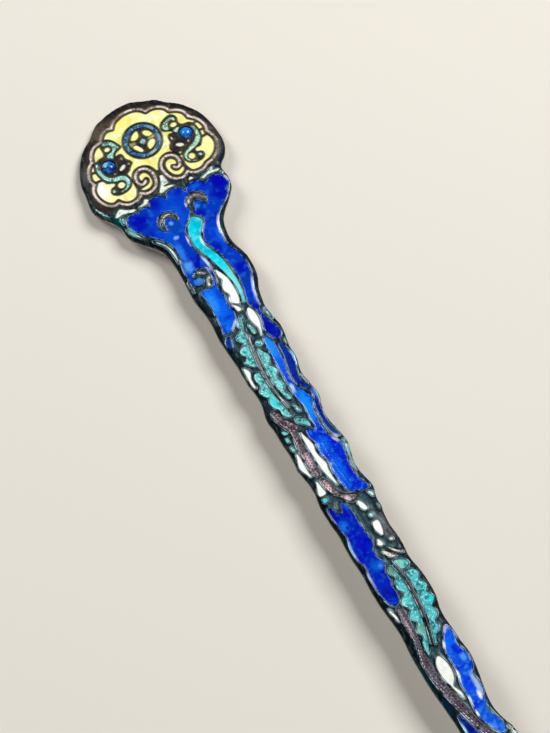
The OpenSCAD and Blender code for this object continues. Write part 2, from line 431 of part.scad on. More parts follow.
// Upper leaf: lobed cells on both sides of its midrib, [s, left, right].
upper_leaf_cells = [
    strip([
        [39.35, -0.6, -0.42], [39.9, -1.25, -0.6], [40.5, -1.62, -0.76], [40.95, -1.56, -0.9],
        [41.25, -1.36, -1.0], [41.6, -1.85, -1.12], [42.0, -2.58, -1.28], [42.5, -2.72, -1.42],
        [42.95, -2.48, -1.54], [43.3, -2.1, -1.62], [43.7, -2.35, -1.7], [44.0, -3.1, -1.71],
        [44.5, -3.32, -1.81], [44.95, -3.15, -1.91], [45.3, -2.75, -1.9], [45.7, -2.95, -1.94],
        [46.05, -3.45, -2.0], [46.5, -3.2, -2.08], [46.95, -2.82, -2.16], [47.3, -2.55, -2.22]]),
    strip([
        [48.15, -2.85, -2.38], [48.5, -3.25, -2.3], [49.1, -3.35, -2.28], [49.7, -3.25, -2.26],
        [50.2, -2.98, -2.24], [50.6, -3.3, -2.22], [51.0, -3.65, -2.18], [51.6, -3.58, -2.14],
        [52.1, -3.2, -2.08], [52.45, -2.78, -2.02], [52.9, -3.12, -1.94], [53.5, -3.18, -1.82],
        [54.1, -2.98, -1.68], [54.55, -2.5, -1.63], [54.95, -2.42, -1.53], [55.4, -2.42, -1.46],
        [55.9, -2.2, -1.32], [56.3, -1.75, -1.25]]),
    strip([[41.0, -0.2, 0.0], [41.6, -0.29, 0.17], [42.3, -0.33, 0.23], [42.9, -0.15, 0.1]]),
    strip([[43.85, -0.6, -0.35], [44.2, -0.72, 0.3], [44.6, -0.62, 0.25], [44.95, -0.2, -0.02]]),
    strip([
        [45.0, -0.85, -0.53], [45.5, -0.95, -0.41], [45.9, -1.0, -0.24], [46.4, -1.05, 0.14],
        [47.0, -1.1, 0.18], [47.4, -1.15, -0.14], [47.75, -1.18, -0.47], [48.2, -1.2, -0.4],
        [48.6, -1.24, 0.01], [49.2, -1.26, 0.18], [49.65, -1.28, -0.14], [50.0, -1.28, -0.5],
        [50.5, -1.26, -0.37], [50.9, -1.24, -0.04], [51.4, -1.2, 0.04], [51.85, -1.14, -0.14],
        [52.2, -1.06, -0.51], [52.6, -0.98, -0.55], [53.0, -0.88, -0.29], [53.5, -0.76, -0.06],
        [53.95, -0.52, -0.16]]),
    strip([[54.85, -0.52, -0.24], [55.3, -0.42, 0.08], [55.85, -0.28, 0.14], [56.3, -0.1, 0.05]]),
    strip([
        [56.75, -1.1, -0.82], [57.2, -1.24, -0.26], [57.6, -1.1, 0.2], [58.0, -0.66, 0.3],
        [58.4, -0.2, 0.34], [58.8, 0.12, 0.36]])];
upper_midrib_cells = [ribbon([
    [-0.9, 42.3, 0.16], [-1.08, 43.0, 0.28], [-1.35, 44.2, 0.24], [-1.58, 45.6, 0.22], [-1.74, 47.0, 0.22],
    [-1.8, 48.6, 0.22], [-1.8, 50.2, 0.22], [-1.7, 51.8, 0.22], [-1.46, 53.2, 0.28], [-1.22, 54.3, 0.22],
    [-1.04, 55.2, 0.14]])];

// Blue strips beside the upper leaf.
azure_strip = [
    [43.95, 0.7, 1.1], [44.4, 0.6, 1.5], [45.0, 0.52, 1.7], [45.7, 0.52, 1.76], [46.3, 0.54, 1.76],
    [46.9, 0.52, 1.74], [47.5, 0.48, 1.7], [48.2, 0.46, 1.62], [48.9, 0.46, 1.5], [49.6, 0.45, 1.34],
    [50.3, 0.44, 1.2], [51.2, 0.43, 1.14], [52.0, 0.4, 1.2], [52.8, 0.4, 1.45], [53.6, 0.46, 1.82],
    [54.3, 0.56, 2.2], [54.9, 0.66, 2.52], [55.5, 0.8, 2.45], [56.1, 0.84, 2.02], [56.8, 0.8, 1.82],
    [57.6, 0.76, 1.72], [58.4, 0.76, 1.64], [59.3, 0.8, 1.64], [60.0, 0.4, 1.72], [60.8, 0.0, 1.86]];
deep_blue_cells = [strip([
    [45.5, 2.25, 2.45], [46.1, 2.04, 2.68], [46.8, 1.99, 2.86], [47.5, 1.95, 3.1], [48.2, 1.87, 3.22],
    [48.9, 1.76, 3.08], [49.6, 1.6, 2.92], [50.3, 1.46, 2.7], [51.0, 1.4, 2.46], [51.7, 1.42, 2.38],
    [52.4, 1.66, 2.46], [53.1, 2.05, 2.78], [53.8, 2.55, 3.15], [54.5, 2.86, 3.32], [55.2, 2.78, 3.32],
    [55.9, 2.42, 3.14], [56.6, 2.2, 2.94], [57.5, 2.14, 2.8], [58.4, 2.1, 2.7], [59.4, 2.06, 2.78],
    [60.3, 2.16, 3.0], [61.2, 2.4, 3.22], [61.9, 2.8, 3.4]])];
// Lower field: the strip above runs on into it.
lower_field_strip = [
    [59.0, -0.62, -0.1], [59.6, -0.75, 0.35], [60.3, -0.68, 1.2], [61.0, -0.46, 1.9], [61.6, -0.3, 2.1],
    [62.2, -0.46, 2.4], [62.8, -0.5, 2.75], [63.4, -0.4, 2.86], [64.0, -0.2, 2.8], [64.6, 0.02, 2.62],
    [65.2, -0.08, 2.5], [65.9, -0.2, 2.4], [66.7, -0.22, 2.3], [67.5, -0.14, 2.3], [68.3, -0.04, 2.44],
    [69.0, 0.06, 2.68], [69.6, 0.4, 2.95], [70.0, 1.2, 3.2], [70.4, 1.9, 3.35]];
lower_field_loops = [strip(azure_strip), strip(lower_field_strip)];

// Upper branch with its two lengths, and the white slivers beside it.
upper_branch_cells = [
    strip([
        [54.5, -3.72, -3.15], [55.0, -3.92, -2.85], [55.7, -3.78, -2.72], [56.4, -3.55, -2.35],
        [57.0, -3.28, -1.9], [57.6, -3.02, -1.52], [58.15, -2.8, -1.45], [58.6, -2.72, -1.82],
        [59.3, -2.76, -1.95], [60.1, -2.88, -1.95], [61.0, -2.98, -1.92], [61.9, -3.02, -1.9],
        [62.8, -3.02, -1.88], [63.7, -3.0, -1.86], [64.6, -3.0, -1.84], [65.3, -2.85, -1.86],
        [65.8, -2.5, -2.02]]),
    strip([
        [66.3, -2.3, -2.0], [66.9, -2.5, -1.62], [67.6, -2.36, -1.42], [68.3, -2.12, -1.2],
        [69.0, -1.8, -0.92], [69.6, -1.2, -0.52], [70.1, -0.95, 0.35], [70.55, -0.66, 1.1],
        [70.95, -0.32, 0.95], [71.25, -0.1, 0.25]])];
branch_sliver_cells = [
    strip([
        [61.4, -3.52, -3.38], [62.1, -3.74, -3.3], [62.9, -4.0, -3.3], [63.5, -4.16, -3.3],
        [64.1, -4.0, -3.3], [64.8, -3.68, -3.28], [65.5, -3.38, -3.14]]),
    strip([
        [58.9, -1.48, -1.36], [59.6, -1.6, -1.24], [60.3, -1.64, -1.0], [61.0, -1.64, -0.82],
        [61.6, -1.62, -0.72], [62.2, -1.6, -0.92], [63.0, -1.58, -0.88], [63.8, -1.54, -0.66],
        [64.6, -1.5, -0.4], [65.2, -1.46, -0.56], [66.0, -1.3, -0.62], [66.8, -1.08, -0.6],
        [67.6, -0.84, -0.54], [68.2, -0.68, -0.54]]),
    strip([[66.3, -3.1, -2.84], [66.9, -3.24, -2.78], [67.6, -3.5, -2.68], [68.2, -3.66, -2.56],
        [68.55, -3.6, -2.6]]),
    strip([[46.7, -4.1, -3.92], [47.3, -4.16, -3.5], [47.9, -4.16, -3.45], [48.5, -4.2, -3.75],
        [49.2, -4.22, -3.8], [49.8, -4.14, -3.8], [50.3, -3.98, -3.78]])];
bud_cells = [
    strip([[57.65, -3.78, -3.5], [58.0, -3.84, -3.18], [58.4, -3.5, -3.06]]),
    ellipse(-3.64, 59.1, 0.27, 0.48, -8, 14),
    strip([[60.2, -3.8, -3.5], [60.65, -3.86, -3.3], [61.1, -3.7, -3.44]]),
    ellipse(-3.22, 69.3, 0.4, 0.4, 0, 16)];

// Blossom under the branch: white cells, its middle, and two cream crescents below.
blossom_cells = [
    strip([[71.4, 0.6, 0.88], [72.0, 0.5, 1.22], [72.6, 0.62, 1.42], [73.15, 0.96, 1.48]]),
    strip([[75.05, 1.05, 1.82], [75.6, 0.82, 1.9], [76.2, 0.8, 1.84], [76.8, 1.0, 1.72],
        [77.4, 1.28, 1.48]]),
    strip([[77.5, 0.4, 0.55], [77.9, 0.22, 0.75], [78.3, 0.02, 0.82], [78.6, 0.5, 0.86]]),
    ellipse(2.18, 78.35, 0.32, 0.2, 35, 14)];
blossom_middle_cells = [ellipse(1.36, 74.1, 0.3, 0.36, -20, 16)];
lower_swirl_cells = [
    ribbon([[0.2, 79.25, 0.2], [0.45, 79.7, 0.48], [0.8, 80.2, 0.55], [1.2, 80.55, 0.4],
        [1.6, 80.75, 0.16]]),
    ribbon([[1.15, 79.15, 0.12], [1.5, 79.65, 0.26], [1.95, 80.15, 0.28], [2.45, 80.55, 0.24],
        [2.8, 80.78, 0.12]])];

// Field down the left of the blade, with a dark bud at its top.
left_field_loops = [strip([
    [70.6, -3.6, -1.25], [71.3, -3.66, -0.88], [72.2, -3.6, -0.72], [73.2, -3.5, -0.66],
    [74.2, -3.4, -0.6], [75.0, -3.24, -0.56], [75.6, -3.1, -0.52], [76.2, -3.32, -0.45],
    [77.0, -3.48, -0.3], [77.6, -3.5, -0.32], [78.2, -3.46, -0.64], [79.0, -3.38, -0.88],
    [79.8, -3.05, -0.74], [80.4, -2.84, -0.4], [80.9, -3.06, -0.3], [81.4, -3.16, -0.66],
    [82.0, -3.2, -0.92], [82.8, -3.2, -0.84], [83.4, -3.18, -0.76], [84.0, -3.14, -1.0],
    [84.8, -3.04, -0.94], [85.6, -2.84, -0.98], [86.2, -2.58, -1.18], [86.7, -2.3, -1.55]])];
left_bud_shape = smooth_loop([
    [-3.1, 70.2], [-2.9, 70.9], [-2.72, 71.6], [-2.3, 72.05],
    [-1.9, 71.75], [-1.66, 71.0], [-1.5, 70.2], [-2.3, 69.9]]);
left_bud_cells = [ribbon([[-2.15, 70.25, 0.14], [-2.25, 70.8, 0.22], [-2.3, 71.4, 0.12]])];

// Lower leaf: lobed cells on both sides of its midrib, [s, left, right].
lower_leaf_cells = [
    strip([
        [81.65, -0.08, 0.14], [82.1, -0.44, 0.26], [82.6, -0.46, 0.42], [83.05, -0.12, 0.5],
        [83.45, 0.1, 0.56], [83.85, -0.3, 0.64], [84.4, -0.6, 0.67], [84.95, -0.55, 0.68],
        [85.45, -0.22, 0.68], [85.85, 0.0, 0.68], [86.2, -0.55, 0.68], [86.7, -1.05, 0.66],
        [87.3, -1.0, 0.62], [87.8, -0.56, 0.54], [88.2, -0.28, 0.5], [88.6, -0.8, 0.46],
        [89.1, -1.15, 0.42], [89.55, -0.9, 0.36], [90.0, -0.42, 0.28], [90.45, -0.6, 0.2],
        [90.95, -1.1, 0.1], [91.45, -1.1, -0.02], [91.9, -0.72, -0.14], [92.3, -0.78, -0.28],
        [92.75, -1.25, -0.44], [93.4, -1.38, -0.66], [94.1, -1.4, -1.0], [94.8, -1.42, -1.2]]),
    strip([
        [81.15, 0.75, 1.0], [81.5, 0.88, 1.95], [82.0, 1.03, 2.5], [82.45, 1.16, 2.58],
        [82.8, 1.28, 2.25]]),
    strip([
        [83.25, 1.46, 2.3], [83.6, 1.5, 2.88], [84.2, 1.54, 3.1], [84.7, 1.58, 2.86], [85.1, 1.6, 2.54],
        [85.5, 1.6, 2.9], [86.0, 1.58, 3.28], [86.5, 1.56, 3.14], [86.95, 1.52, 2.64], [87.35, 1.48, 2.86],
        [87.9, 1.42, 3.18], [88.4, 1.34, 3.14], [88.85, 1.34, 2.62], [89.2, 1.28, 2.3], [89.65, 1.2, 2.5],
        [90.15, 1.1, 2.62], [90.6, 1.03, 2.3], [90.95, 0.95, 1.75], [91.35, 0.85, 1.6], [91.8, 0.73, 1.82],
        [92.3, 0.59, 1.55], [92.75, 0.45, 0.92], [93.3, 0.29, 0.66], [93.9, 0.09, 0.36]])];
lower_midrib_cells = [ribbon([
    [0.5, 81.7, 0.14], [0.72, 82.3, 0.26], [0.98, 83.2, 0.3], [1.14, 84.4, 0.34], [1.16, 85.8, 0.34],
    [1.08, 87.2, 0.32], [0.94, 88.6, 0.28], [0.74, 90.0, 0.26], [0.44, 91.4, 0.24], [0.08, 92.8, 0.22],
    [-0.22, 93.7, 0.12]])];
lower_petal_cells = [
    strip([
        [95.35, -0.5, -0.24], [95.8, -0.92, -0.04], [96.4, -1.2, 0.2], [97.1, -1.3, 0.32],
        [97.9, -1.28, 0.34], [98.6, -1.16, 0.24], [99.2, -0.98, 0.0], [99.65, -0.8, -0.45],
        [100.1, -0.74, -0.42], [100.7, -0.56, -0.1], [101.2, -0.38, 0.06], [101.7, -0.22, 0.04],
        [102.1, -0.1, -0.02]]),
    strip([[86.6, -3.12, -3.0], [87.2, -3.14, -2.84], [87.9, -2.98, -2.62], [88.5, -2.82, -2.54],
        [89.1, -2.7, -2.6]])];
lower_branch_cells = [strip([
    [87.2, -2.12, -1.8], [87.8, -2.16, -1.38], [88.6, -2.22, -1.36], [89.4, -2.18, -1.42],
    [90.3, -2.14, -1.47],
    [91.2, -2.18, -1.5], [92.1, -2.16, -1.52], [93.0, -2.22, -1.64], [93.8, -2.46, -1.78],
    [94.7, -2.7, -1.8],
    [95.6, -2.76, -1.8], [96.5, -2.76, -1.72], [97.4, -2.7, -1.62], [98.3, -2.6, -1.54],
    [99.2, -2.42, -1.38],
    [100.1, -2.22, -1.14], [101.0, -2.02, -0.9], [102.0, -1.74, -0.62], [103.0, -1.5, -0.36],
    [104.0, -1.19, -0.14], [105.0, -0.87, 0.08], [106.0, -0.5, 0.42], [107.0, -0.06, 0.84],
    [108.0, 0.44, 1.3], [108.9, 1.0, 1.82], [109.7, 1.7, 2.3], [110.3, 2.3, 2.65]])];

// Field down the right of the blade, and the one that ends the enamel.
right_field_loops = [strip([
    [92.3, 2.55, 2.72], [92.9, 2.1, 3.0], [93.5, 1.62, 3.1], [94.1, 1.32, 3.1], [94.8, 1.0, 2.9],
    [95.5, 0.86, 2.88], [96.2, 0.84, 3.2], [97.0, 0.9, 3.36], [97.8, 0.94, 3.36], [98.6, 0.94, 3.16],
    [99.3, 0.72, 2.76], [99.9, 0.46, 2.6], [100.6, 0.42, 2.76], [101.4, 0.54, 2.86], [102.2, 0.54, 2.7],
    [103.0, 0.42, 2.46], [104.0, 0.38, 2.3], [105.0, 0.46, 2.28], [106.0, 0.76, 2.55],
    [107.0, 1.18, 2.85], [107.7, 1.6, 2.86], [108.3, 2.05, 2.6]])];
end_field_loops = [strip([
    [103.6, -2.05, -1.7], [104.4, -2.14, -1.42], [105.2, -2.12, -1.16], [106.2, -2.08, -0.78],
    [107.2, -2.14, -0.34], [108.2, -2.3, 0.12], [109.2, -2.5, 0.62], [110.2, -2.66, 1.3],
    [111.2, -2.76, 2.3], [112.2, -2.76, 2.6], [113.2, -2.6, 2.46], [114.2, -2.2, 2.1], [115.0, -1.6, 1.5],
    [115.6, -0.8, 0.7]])];
end_swirl_cells = [
    strip([[107.5, 3.12, 3.26], [107.95, 3.2, 3.52], [108.3, 3.3, 3.6]]),
    ribbon([[3.1, 108.6, 0.12], [3.4, 108.95, 0.26], [3.6, 109.5, 0.26], [3.4, 110.1, 0.2],
        [3.05, 110.35, 0.12]])];

// Slivers along the edges: [s, left, right].
left_sliver_cells = [
    ribbon([[-11.42, 13.5, 0.14], [-11.22, 14.3, 0.32], [-10.82, 15.1, 0.42], [-10.3, 15.85, 0.4],
        [-9.85, 16.35, 0.2]]),
    strip([[17.2, -8.75, -8.3], [17.6, -8.85, -8.3], [18.0, -8.85, -8.55], [18.4, -8.8, -8.7]]),
    strip([[19.2, -8.9, -8.76], [19.9, -8.72, -8.4], [20.6, -8.26, -7.86], [21.3, -7.76, -7.35],
        [21.8, -7.36, -7.12]]),
    strip([
        [22.8, -6.36, -6.16], [23.4, -5.9, -5.45], [24.1, -5.34, -4.86], [24.9, -4.92, -4.48],
        [25.8, -4.74, -4.26], [26.6, -4.66, -4.24], [27.4, -4.62, -4.38], [27.9, -4.62, -4.5]]),
    strip([[31.1, -4.86, -4.76], [31.8, -4.9, -4.72], [32.5, -4.86, -4.7], [33.1, -4.8, -4.7]])];
small_pocket_cells = [strip([
    [41.45, -3.85, -3.5], [41.85, -4.25, -3.45], [42.3, -4.4, -3.6], [42.8, -4.4, -3.72],
    [43.3, -4.26, -3.95]])];
right_sliver_cells = [
    strip([[39.8, 2.82, 3.08], [40.3, 2.86, 3.18], [40.9, 2.96, 3.26], [41.5, 3.12, 3.36],
        [41.9, 3.26, 3.42]]),
    strip([[45.3, 3.2, 3.36], [45.8, 3.12, 3.32], [46.3, 3.14, 3.26]]),
    strip([[51.2, 2.72, 2.82], [51.8, 2.68, 2.86], [52.4, 2.78, 2.98], [53.0, 3.0, 3.14]]),
    strip([
        [62.6, 3.22, 3.46], [63.2, 3.14, 3.5], [63.8, 3.06, 3.42], [64.5, 2.94, 3.24], [65.2, 2.82, 3.08],
        [66.0, 2.7, 2.92], [66.8, 2.64, 2.84], [67.6, 2.7, 2.88]]),
    strip([[70.85, 2.5, 2.7], [71.2, 2.62, 3.1], [71.6, 2.78, 3.2], [71.95, 2.9, 3.06]]),
    strip([[73.0, 2.92, 3.08], [73.5, 2.94, 3.1], [74.0, 2.9, 3.04]])];
collar_end_cells = [strip([[17.35, 7.7, 7.85], [17.7, 7.9, 8.05]])];

// Fields of the ground: each list of loops, less the shapes that stand in it.
module field(loops_in, islands, gap = 0) {
    difference() {
        loops([for (loop = loops_in) inset(loop, gap)]);
        loops([for (loop = islands) inset(loop, -gap)]);
    }
}

coin_disc = [ellipse(coin_at[0], coin_at[1], coin_r, coin_r, 0, 48)];
head_islands = concat(coin_disc, [left_bat_shape], [right_bat_shape], ground_walls);
cyan_band_cells = [strip(cyan_band_strip)];
upper_islands = [left_crescent_shape, right_crescent_shape, upper_swirl_shape];

module head_plan(gap = 0) field([head_field], head_islands, gap);
module upper_plan(gap = 0) field(upper_field_loops, upper_islands, gap);
module left_field_plan(gap = 0) field(left_field_loops, [left_bud_shape], gap);
module coin_ring_plan(gap = 0) {
    difference() {
        loops([ellipse(coin_at[0], coin_at[1], coin_ring_r - gap, coin_ring_r - gap, 0, 48)]);
        loops([ellipse(coin_at[0], coin_at[1], coin_ring_inner + gap, coin_ring_inner + gap, 0, 48)]);
    }
}

// Every plain cell that the pin has a pocket for, from the head to the end of the enamel.
head_cells = concat(
    border_cells(border_w), scroll_ground, star_cells, quarter_cells,
    left_wing_cells, left_bat_ground, left_bat_spots,
    right_wing_cells, right_bat_ground, right_bat_spots,
    collar_cells, collar_end_cells,
    [ellipse(left_dome_at[0], left_dome_at[1], left_dome_r, left_dome_r, 0, 32)],
    [ellipse(right_dome_at[0], right_dome_at[1], right_dome_r, right_dome_r, 0, 32)]);
upper_cells = concat(
    left_crescent_cells, right_crescent_cells, upper_swirl_cells, cyan_band_cells,
    white_cloud_cells, upper_leaf_cells, upper_midrib_cells, deep_blue_cells, left_sliver_cells,
    small_pocket_cells, right_sliver_cells);
lower_cells = concat(
    lower_field_loops, upper_branch_cells, branch_sliver_cells, bud_cells, blossom_cells,
    blossom_middle_cells, lower_swirl_cells, left_bud_cells, lower_leaf_cells,
    lower_midrib_cells, lower_petal_cells, lower_branch_cells, right_field_loops,
    end_field_loops, end_swirl_cells);

module pin_plan() {
    gap_r = prong_spread / 2 - prong_w / 2;
    difference() {
        union() {
            loops([body_outline]);
            for (side = [-1, 1])
                loops([ribbon([for (r = prong_route) [side * r[1], r[0], r[2]]], 3)]);
        }
        loops([ellipse(0, fork_place + 0.6, gap_r, gap_r, 0, 32)]);
    }
}

module silver_pin() {
    color("dimgray") difference() {
        layer(0, part_t) pin_plan();
        layer(plate_t, part_t + above) {
            loops(head_cells);
            coin_ring_plan();
        }
        layer(plate_t, part_t + above) head_plan();
        layer(plate_t, part_t + above) {
            loops(upper_cells);
            upper_plan();
        }
        layer(plate_t, part_t + above) {
            loops(lower_cells);
            left_field_plan();
        }
    }
}

// A round-topped drop of enamel, tilted with the plate under it.
module dome(at, r) {
    rise = wall_h + 0.35;
    ball_r = (r * r + rise * rise) / (2 * rise);
    slope = atan((back_z(at[1] + 0.5) - back_z(at[1] - 0.5)) / 1);
    centre = place([at])[0];
    translate([centre[0], centre[1], back_z(at[1]) + plate_t])
        rotate([-slope, 0, 0])
            translate([0, 0, 0.01]) intersection() {
                cylinder(r = r - fit_gap, h = rise);
                translate([0, 0, rise - ball_r]) sphere(r = ball_r);
            }
}

module head_ground() {
    color("khaki") {
        layer(plate_t, enamel_top) head_plan(fit_gap);
        enamel(concat(scroll_ground, left_bat_ground, right_bat_ground));
    }
}
module border_line() color("pink") layer(plate_t, enamel_top) loops(border_cells(border_w - 2 * fit_gap));
module coin_ring() color("steelblue") layer(plate_t, enamel_top) coin_ring_plan(fit_gap);
module coin_star() color("lightblue") enamel(star_cells);
module coin_quarters() color("khaki") enamel(quarter_cells);
module left_bat_wings() color("turquoise") enamel(left_wing_cells);
module left_bat_spots() color("mistyrose") enamel(left_bat_spots);
module left_dome() color("blue") dome(left_dome_at, left_dome_r);
module right_bat_wings() color("turquoise") enamel(right_wing_cells);
module right_bat_spots() color("mistyrose") enamel(right_bat_spots);
module right_dome() color("blue") dome(right_dome_at, right_dome_r);
module white_collar() color("white") enamel(collar_cells);
module upper_field() color("mediumblue") layer(plate_t, enamel_top) upper_plan(fit_gap);
module left_crescent() color("ivory") enamel(left_crescent_cells);
module right_crescent() color("thistle") enamel(right_crescent_cells);
module upper_swirl() color("ivory") enamel(upper_swirl_cells);
module cyan_band() color("cyan") enamel(cyan_band_cells);
module white_cloud() color("white") enamel(white_cloud_cells);
module upper_leaf() color("turquoise") enamel(upper_leaf_cells);
module upper_midrib() color("rosybrown") enamel(upper_midrib_cells);
module deep_blue_strip() color("navy") enamel(deep_blue_cells);
module lower_field() color("mediumblue") layer(plate_t, enamel_top) field(lower_field_loops, [], fit_gap);
module upper_branch() color("plum") enamel(upper_branch_cells);
module branch_slivers() color("white") enamel(branch_sliver_cells);
module branch_buds() color("turquoise") enamel(bud_cells);
module blossom() color("white") enamel(blossom_cells);
module blossom_middle() color("paleturquoise") enamel(blossom_middle_cells);
module lower_swirl() color("ivory") enamel(lower_swirl_cells);
module left_field() color("mediumblue") layer(plate_t, enamel_top) left_field_plan(fit_gap);
module left_bud() color("teal") enamel(left_bud_cells);
module lower_leaf() color("turquoise") enamel(lower_leaf_cells);
module lower_midrib() color("rosybrown") enamel(lower_midrib_cells);
module lower_petals() color("ivory") enamel(lower_petal_cells);
module lower_branch() color("plum") enamel(lower_branch_cells);
module right_field() color("mediumblue") enamel(right_field_loops);
module end_field() color("mediumblue") enamel(end_field_loops);
module end_swirl() color("lightgreen") enamel(end_swirl_cells);
module left_slivers() color("paleturquoise") enamel(left_sliver_cells);
module small_pocket() color("navy") enamel(small_pocket_cells);
module right_slivers() color("paleturquoise") enamel(concat(right_sliver_cells, collar_end_cells));

silver_pin();
head_ground();
border_line();
coin_ring();
coin_star();
coin_quarters();
left_bat_wings();
left_bat_spots();
left_dome();
right_bat_wings();
right_bat_spots();
right_dome();
white_collar();
upper_field();
left_crescent();
right_crescent();
upper_swirl();
cyan_band();
white_cloud();
upper_leaf();
upper_midrib();
deep_blue_strip();
lower_field();
upper_branch();
branch_slivers();
branch_buds();
blossom();
blossom_middle();
lower_swirl();
left_field();
left_bud();
lower_leaf();
lower_midrib();
lower_petals();
lower_branch();
right_field();
end_field();
end_swirl();
left_slivers();
small_pocket();
right_slivers();
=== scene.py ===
# %% [markdown]
# An old enamelled hairpin, dressed in Blender.
# The pin is a long arched strip of blackened silver. Its face is cut into cells with raised walls,
# and each cell is filled with coloured glass that was melted in place. The solids come from the
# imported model. This lesson gives each of them the surface that the hand and the fire leave:
# rounded walls, glass that climbs its walls a little, veins under the leaves, dots on the branches.

# %% Load the frame
import json
import math

import bpy
import numpy as np
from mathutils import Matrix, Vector
from mathutils.geometry import delaunay_2d_cdt

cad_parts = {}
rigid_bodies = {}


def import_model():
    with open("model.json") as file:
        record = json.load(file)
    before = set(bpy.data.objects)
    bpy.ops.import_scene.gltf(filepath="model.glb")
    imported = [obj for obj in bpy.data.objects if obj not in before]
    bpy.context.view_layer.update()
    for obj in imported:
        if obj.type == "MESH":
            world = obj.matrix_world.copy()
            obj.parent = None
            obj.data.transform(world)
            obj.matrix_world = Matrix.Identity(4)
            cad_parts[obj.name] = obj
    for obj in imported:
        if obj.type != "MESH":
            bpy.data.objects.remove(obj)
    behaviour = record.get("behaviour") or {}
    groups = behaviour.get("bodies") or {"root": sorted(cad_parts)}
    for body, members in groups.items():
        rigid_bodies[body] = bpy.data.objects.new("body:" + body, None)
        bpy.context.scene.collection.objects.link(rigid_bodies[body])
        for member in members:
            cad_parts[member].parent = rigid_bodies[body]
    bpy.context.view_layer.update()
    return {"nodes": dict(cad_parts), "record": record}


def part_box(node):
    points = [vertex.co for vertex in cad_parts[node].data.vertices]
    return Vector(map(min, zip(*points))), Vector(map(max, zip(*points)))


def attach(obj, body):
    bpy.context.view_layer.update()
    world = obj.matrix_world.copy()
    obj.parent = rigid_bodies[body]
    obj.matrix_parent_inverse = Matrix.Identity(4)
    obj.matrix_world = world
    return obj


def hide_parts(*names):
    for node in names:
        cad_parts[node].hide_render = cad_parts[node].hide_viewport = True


for old in list(bpy.data.objects):
    bpy.data.objects.remove(old)
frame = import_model()

# %% [markdown]
# All measuring below is done in millimetres, because the walls are a fifth of one wide.
# The pin is arched: its back is two half parabolas that meet at the arch's highest place. The
# height of any point above the back is what tells a wall's top from a pocket's floor, so the arch
# is the first thing to write down.

# %% Sizes of the pin, in millimetres
MM = 0.001
PIN_LENGTH = 174.0
ARCH_RISE = 3.7
ARCH_PLACE = 110.0
PLATE_T = 0.9
WALL_TOP = 1.35
ENAMEL_TOP = 1.29
# The drawing's own zero across the pin: the coin in the head has its middle 0.05 left of it.
COIN_X = -0.05
coin_low, coin_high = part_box("coin_ring")
X_MIDDLE = COIN_X - (coin_low[0] + coin_high[0]) / 2 / MM


def arch(y):
    """Height of the back: rise times one less the square of the way to the arch's highest place."""
    s = PIN_LENGTH / 2 - y
    reach = np.where(s < ARCH_PLACE, ARCH_PLACE, PIN_LENGTH - ARCH_PLACE)
    return ARCH_RISE * (1 - ((s - ARCH_PLACE) / reach) ** 2)


def along(s):
    """Place on the Y axis of a point s mm from the top of the head, or s from a place on the axis."""
    return PIN_LENGTH / 2 - s


print("the pin's own middle is at", round(X_MIDDLE, 3), "mm on the drawing across the pin")

# %% [markdown]
# A solid's face is read back as an outline: the triangles that look up at one height above the
# back, and of those the edges that only one triangle has. That gives each cell's exact border, so
# the new surface fits its pocket without any fitting by hand.

# %% Outlines of a solid's faces
FACE_LOW, FACE_HIGH = 1.1, 1.5


def outline(node, low=FACE_LOW, high=FACE_HIGH):
    """Edges of the node's faces that look up, between two heights above the back.

    Points within a thousandth of a millimetre count as one. An edge belongs to the border when
    the opposite edge is missing. Returns the points and the directed edges.
    """
    mesh = frame["nodes"][node].data
    mesh.calc_loop_triangles()
    places = np.empty(len(mesh.vertices) * 3)
    mesh.vertices.foreach_get("co", places)
    corners = np.empty(len(mesh.loop_triangles) * 3, dtype=np.int64)
    mesh.loop_triangles.foreach_get("vertices", corners)
    places = places.reshape(-1, 3) / MM
    _, first, same = np.unique(np.round(places, 3), axis=0, return_index=True, return_inverse=True)
    places, corners = places[first], same.reshape(-1)[corners].reshape(-1, 3)
    a, b, c = (places[corners[:, i]] for i in range(3))
    normal = np.cross(b - a, c - a)
    size = np.linalg.norm(normal, axis=1)
    above = places[:, 2] - arch(places[:, 1])
    level = above[corners]
    kept = (size > 1e-9) & (normal[:, 2] > 0.9 * size)
    kept &= (level.min(axis=1) > low) & (level.max(axis=1) < high)
    faces = corners[kept]
    edges = np.concatenate([faces[:, [0, 1]], faces[:, [1, 2]], faces[:, [2, 0]]])
    count = len(places)
    forward, back = edges[:, 0] * count + edges[:, 1], edges[:, 1] * count + edges[:, 0]
    border = edges[~np.isin(forward, back)]
    used, border = np.unique(border, return_inverse=True)
    return places[used][:, :2], border.reshape(-1, 2)


silver_points, silver_edges = outline("silver_pin")
print("edges round the silver's walls:", len(silver_edges))

# %% [markdown]
# The outlines have a corner every few tenths of a millimetre. A wall bent by hand from silver has
# none, so the edges are cut into short even steps and each point is drawn towards the middle of
# its neighbours. The same is done to the pocket and to the glass in it, so they still fit.

# %% Even points along an outline
STEP = 0.15
ROUNDS = 3


